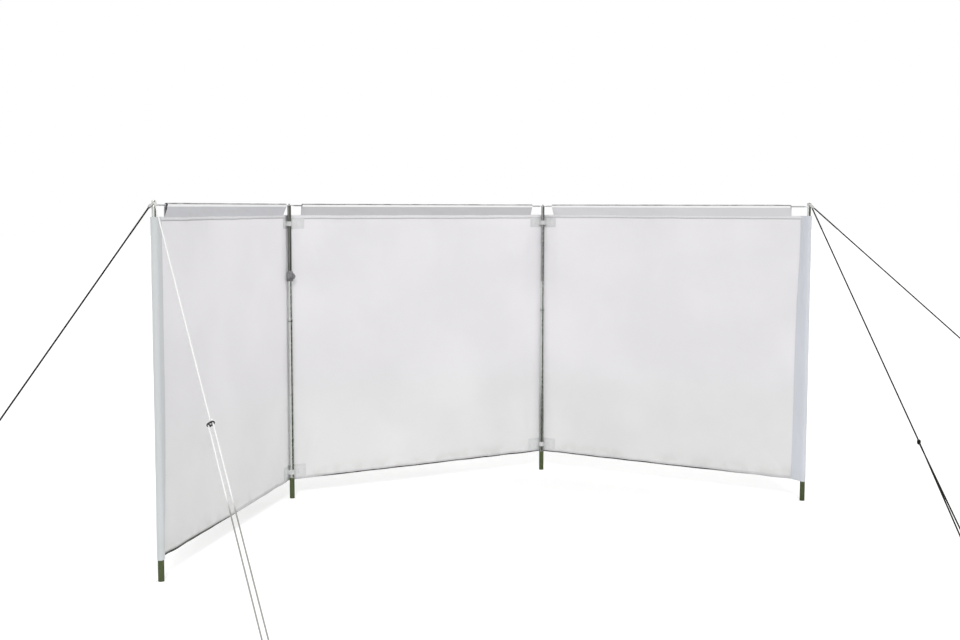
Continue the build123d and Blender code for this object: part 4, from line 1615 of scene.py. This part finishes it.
def braid_tree():
    """A braided cord along a path: strands that pass over and under each other."""
    sizes = (
        ("Radius", CORD_RADIUS), ("Braid Length", BRAID_LENGTH), ("Relief", BRAID_RELIEF),
        ("Step", BRAID_STEP),
    )
    tree, given = new_group("braid", sizes, "Finish")
    path = resampled(given["Geometry"], given["Step"])
    travelled = add_node(tree, "GeometryNodeSplineParameter").outputs["Length"]
    circle = {"Resolution": ROUND_CORD, "Radius": given["Radius"]}
    ring = value_node("GeometryNodeCurvePrimitiveCircle", circle)
    number = add_node(tree, "GeometryNodeInputIndex").outputs[0]
    curves = {
        "Curve": store(path, "travel", travelled),
        "Profile Curve": store(ring, "round", number),
        "Fill Caps": True,
    }
    along = calc("DIVIDE", stored(tree, "travel"), given["Braid Length"])
    twist = times(times(along, 2 * math.pi), 2.0)
    around = times(stored(tree, "round"), 4 * 2 * math.pi / ROUND_CORD)
    one = calc("COSINE", times(minus(around, twist), 0.5))
    other = calc("COSINE", times(plus(around, twist), 0.5))
    hand = times(one, other)
    pillow = calc("ABSOLUTE", hand)
    braid = store(value_node("GeometryNodeCurveToMesh", curves), "valley", pillow)
    braid = store(braid, "tracer", span(hand, -0.05, 0.05))
    rise = times(minus(pillow, 0.7), times(given["Radius"], given["Relief"]))
    normal = add_node(tree, "GeometryNodeInputNormal").outputs[0]
    outwards = value_node("ShaderNodeVectorMath", {0: normal, "Scale": rise}, operation="SCALE")
    moved = value_node("GeometryNodeSetPosition", {"Geometry": braid, "Offset": outwards})
    smooth = value_node("GeometryNodeSetShadeSmooth", {0: moved})
    return close_group(tree, smooth, given["Finish"])


braid_nodes = braid_tree()


def bent(points, radius):
    """The route with its corners rounded, as a list of close points."""
    result = [points[0]]
    for before, corner, after in zip(points, points[1:], points[2:]):
        into, out = before - corner, after - corner
        cut = min(radius, 0.45 * into.length, 0.45 * out.length)
        start, end = corner + into.normalized() * cut, corner + out.normalized() * cut
        for share in np.linspace(0, 1, 8).tolist():
            at = 2 * share * (1 - share)
            result.append(start * (1 - share) ** 2 + corner * at + end * share**2)
    return result + [points[-1]]


def coil(middle, axis, side, radius, length, turns):
    """Points of a cord wound round an axis, swelling towards its middle."""
    across_one = axis.cross(side).normalized()
    across_two = axis.cross(across_one)
    steps = int(26 * turns)
    points = []
    for index in range(steps + 1):
        share = index / steps
        turned = 2 * math.pi * turns * share
        swell = radius * (0.72 + 0.28 * math.sin(math.pi * share))
        points.append(
            middle + axis * (share - 0.5) * length
            + across_one * swell * math.cos(turned) + across_two * swell * math.sin(turned)
        )
    return points


def make_guy(name, pole_index, runner_turn, runner_tilt, lead, finish):
    """A guy from its loop on the pin through its runner, round its peg and back to a knot."""
    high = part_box(f"guy_line_{name}")[1]
    pole = Vector((*poles[pole_index], 0))
    runner_low, runner_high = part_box(f"guy_runner_{name}")
    runner = (runner_low + runner_high) / 2
    ring = Vector((pole.x, pole.y, high.z - PLAIN_CORD - 0.5 * MM))
    out = Vector((runner.x - pole.x, runner.y - pole.y, 0)).normalized()
    side = Vector((-out.y, out.x, 0))
    start = ring + out * (PIN_RADIUS + CORD_RADIUS + 0.3 * MM)
    down = (runner - start).normalized()
    turn = start + down * ((CORD_TURN - start.z) / down.z)
    angle = math.radians(runner_turn)
    across = side * math.cos(angle) + down.cross(side) * math.sin(angle)
    hole, gap = across * (GUY_GAP / 2), side * (GUY_GAP / 2)

    loop_radius = PIN_RADIUS + CORD_RADIUS + 0.2 * MM
    fall = Vector((0, 0, down.z / out.dot(down) * (LOOP_NECK - loop_radius)))
    meeting = ring + (start - ring).normalized() * LOOP_NECK + fall
    loop = [
        ring - out * loop_radius * math.cos(swing) + side * loop_radius * math.sin(swing)
        for swing in np.linspace(-2.1, 2.1, 25)
    ]
    arc = [
        turn - gap * math.cos(swing) + down * (GUY_GAP / 2) * math.sin(swing)
        for swing in np.linspace(0, math.pi, 17)
    ]
    bend_in = runner - hole - down * 4.5 * MM
    above = bend_in + (start - runner) * 0.04
    if lead:  # the cord comes down between its two strands
        bend_in = runner - hole - down * 6.5 * MM
        above = runner - hole + across * lead - down * 17 * MM
    main = bent([start + down * 9 * MM, above, bend_in, runner - hole + down * 6 * MM], 10 * MM)
    knot = runner + hole - down * 7.8 * MM
    tail = [knot - down * 4 * MM + across * 0.6 * MM, knot - down * 7 * MM + across * 1.2 * MM]
    cord = Routes()
    cord.add([meeting - side * 1.7 * MM, *loop, meeting + side * 1.7 * MM])
    cord.add([*main, *arc, knot])
    cord.add([knot, *tail])
    values = {"Finish": finish, "Radius": PALE_RADIUS if finish is pale_braid else CORD_RADIUS}
    grow(f"guy_{name}", cord, braid_nodes, values, finish, [f"guy_line_{name}"])

    knots = Routes()
    knots.add(coil(meeting + down * 1 * MM, down, side, 4.6 * MM, 12 * MM, 3.5))
    knots.add(coil(knot, down, side, 4.2 * MM, 7 * MM, 2.2))
    values = {"Finish": finish, "Radius": KNOT_CORD}
    grow(f"guy_knots_{name}", knots, braid_nodes, values, finish)
    tilt = math.radians(runner_tilt)
    make_runner(name, runner, across, down * math.cos(tilt) + down.cross(across) * math.sin(tilt))


def make_runner(name, middle, across, down):
    """A moulded runner: a flat bar with a window and a hole for each strand."""
    curve = bpy.data.curves.new(f"runner_outline_{name}", "CURVE")
    curve.dimensions = "2D"
    curve.fill_mode = "BOTH"
    curve.extrude, curve.bevel_depth, curve.bevel_resolution = 2.1 * MM, RUNNER_EDGE, 3
    curve.offset = -RUNNER_EDGE
    curve.resolution_u = 8

    def closed(points):
        spline = curve.splines.new("POLY")
        spline.points.add(len(points) - 1)
        for slot, (x, y) in zip(spline.points, points):
            slot.co = (x, y, 0, 1)
        spline.use_cyclic_u = True

    def oval(middle, half_long, half_wide, power, count):
        turns = np.linspace(0, 2 * math.pi, count, endpoint=False)
        return [
            (middle + half_long * squared(math.cos(turn), power),
             half_wide * squared(math.sin(turn), power))
            for turn in turns
        ]

    half_long, half_wide = RUNNER_HALVES
    outline = [
        (half_long - half_wide + half_wide * math.cos(turn), half_wide * math.sin(turn))
        for turn in np.linspace(-math.pi / 2, math.pi / 2, 17)
    ]
    outline += [(-x, -y) for x, y in outline]
    closed(outline)
    for place in (-GUY_GAP / 2, GUY_GAP / 2):
        closed(oval(place, RUNNER_HOLE, RUNNER_HOLE, 1, 20))
    closed(oval(0.0, *RUNNER_WINDOW, 0.6, 24))
    holder = link_object(f"runner_{name}_outline", curve)
    mesh = final_mesh(holder)
    bpy.data.objects.remove(holder)
    mesh.transform(place_matrix(across, down, middle))
    clean_mesh(mesh, 1e-6)
    mesh.name = f"runner_{name}"
    piece = link_object(f"runner_{name}", mesh)
    dress(piece, runner_plastic, [f"guy_runner_{name}"], 40)


for name, sizes in guy_sizes.items():
    make_guy(name, *sizes, pale_braid if name == "left_lee" else dark_braid)


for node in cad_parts:
    if node.startswith("guy_peg"):
        peg = bpy.data.objects[node]
        if not peg.material_slots:
            peg.data.materials.append(peg_steel)
        for material_slot in peg.material_slots:
            material_slot.material = peg_steel


# ---------------------------------------------------------------- floor, light and camera
def bare_tree(owner):
    """The emptied node tree of a material or world."""
    owner.use_nodes = True
    owner.node_tree.nodes.clear()
    return owner.node_tree


def stage_piece(name, points, faces, finish_name):
    """A flat piece of the set and the empty node tree of its material."""
    mesh = bpy.data.meshes.new(name)
    mesh.from_pydata(points, [], faces)
    material = bpy.data.materials.new(finish_name)
    mesh.materials.append(material)
    return link_object(name, mesh), bare_tree(material)


floor, tree = stage_piece(
    "floor", [(-60, -60, 0), (60, -60, 0), (60, 60, 0), (-60, 60, 0)], [(0, 1, 2, 3)], "pale floor"
)
matt = add_node(tree, "ShaderNodeBsdfDiffuse", {"Color": (0.86, 0.86, 0.855, 1.0)})
rays = add_node(tree, "ShaderNodeLightPath")
lift = times(rays.outputs["Is Camera Ray"], 0.2)
lift = add_node(tree, "ShaderNodeEmission", {"Color": (1, 1, 1, 1), "Strength": lift})
both = add_node(tree, "ShaderNodeAddShader", {0: matt.outputs[0], 1: lift.outputs[0]})
add_node(tree, "ShaderNodeOutputMaterial", {"Surface": both.outputs[0]})
floor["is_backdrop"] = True

SKY = 0.55  # of the world's light on the object
world = bpy.data.worlds.new("studio")
bpy.context.scene.world = world
tree = bare_tree(world)
rays = add_node(tree, "ShaderNodeLightPath")
seen = calc("MAXIMUM", rays.outputs["Is Camera Ray"], rays.outputs["Is Glossy Ray"])
seen = calc("MAXIMUM", seen, rays.outputs["Is Transmission Ray"])
strength = plus(SKY, times(seen, 1 - SKY))
sky = add_node(tree, "ShaderNodeBackground", {"Color": (1, 1, 1, 1), "Strength": strength})
add_node(tree, "ShaderNodeOutputWorld", {"Surface": sky.outputs[0]})

lamps = (  # (name, energy, angle in degrees, the way its light goes)
    ("key", 1.45, 16, (0.40, 0.71, -0.57)),
    ("side", 1.0, 60, (-0.76, 0.1, -0.64)),
    ("back", 0.55, 60, (0.25, -0.72, -0.65)),
)
for name, energy, angle, way in lamps:
    sun = bpy.data.lights.new(name, "SUN")
    sun.energy = energy
    sun.angle = math.radians(angle)
    lamp = link_object(name, sun)
    lamp.rotation_euler = Vector(way).to_track_quat("-Z", "Y").to_euler()
    lamp.visible_glossy = name == "key"

# dark ground and a dark screen in front, which only the metal's reflections show
SCREEN_LEVELS = (0.002, 3.0)
screen_line = ((-1.5, -1.9), (-0.3, -1.9), (0.9, -1.9), (2.1, -1.2), (2.6, -0.4))
ground_back = ((1.32, 0.03), (0.62, 1.2), (-0.85, 1.15))
across = len(screen_line)
screen_points = [(x, y, z) for z in SCREEN_LEVELS for x, y in screen_line]
screen_points += [(x, y, SCREEN_LEVELS[0]) for x, y in ground_back]
screen_faces = [(i, i + 1, i + 1 + across, i + across) for i in range(across - 1)]
screen_faces.append((*range(across), *range(2 * across, len(screen_points))))
screen, tree = stage_piece("dark_screen", screen_points, screen_faces, "dark screen")
glow = add_node(tree, "ShaderNodeEmission", {"Color": (0.07, 0.08, 0.05, 1.0), "Strength": 1.0})
add_node(tree, "ShaderNodeOutputMaterial", {"Surface": glow.outputs[0]})
screen.visible_camera = screen.visible_diffuse = screen.visible_shadow = False
screen.visible_transmission = False
screen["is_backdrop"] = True

CAMERA_FROM_POLE_2 = (-2.3297, -6.1121)
CAMERA_HEIGHT = 1.4848
heading, tilt, roll = math.radians(60.71), math.radians(5.025), math.radians(0.12)
camera_data = bpy.data.cameras.new("camera")
camera_data.lens = 48.2
camera_data.sensor_width = 36.0
camera = link_object("camera", camera_data)
level = math.cos(tilt)
back = Vector((-math.cos(heading) * level, -math.sin(heading) * level, math.sin(tilt)))
right = Vector((math.sin(heading), -math.cos(heading), 0))
over = back.cross(right)
right, over = (
    right * math.cos(roll) + over * math.sin(roll),
    over * math.cos(roll) - right * math.sin(roll),
)
place = Matrix.Translation((*(poles[1] + CAMERA_FROM_POLE_2), CAMERA_HEIGHT))
camera.matrix_world = place @ Matrix((right, over, back)).transposed().to_4x4()
bpy.context.scene.camera = camera
bpy.context.scene.view_settings.view_transform = "Standard"

low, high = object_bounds()
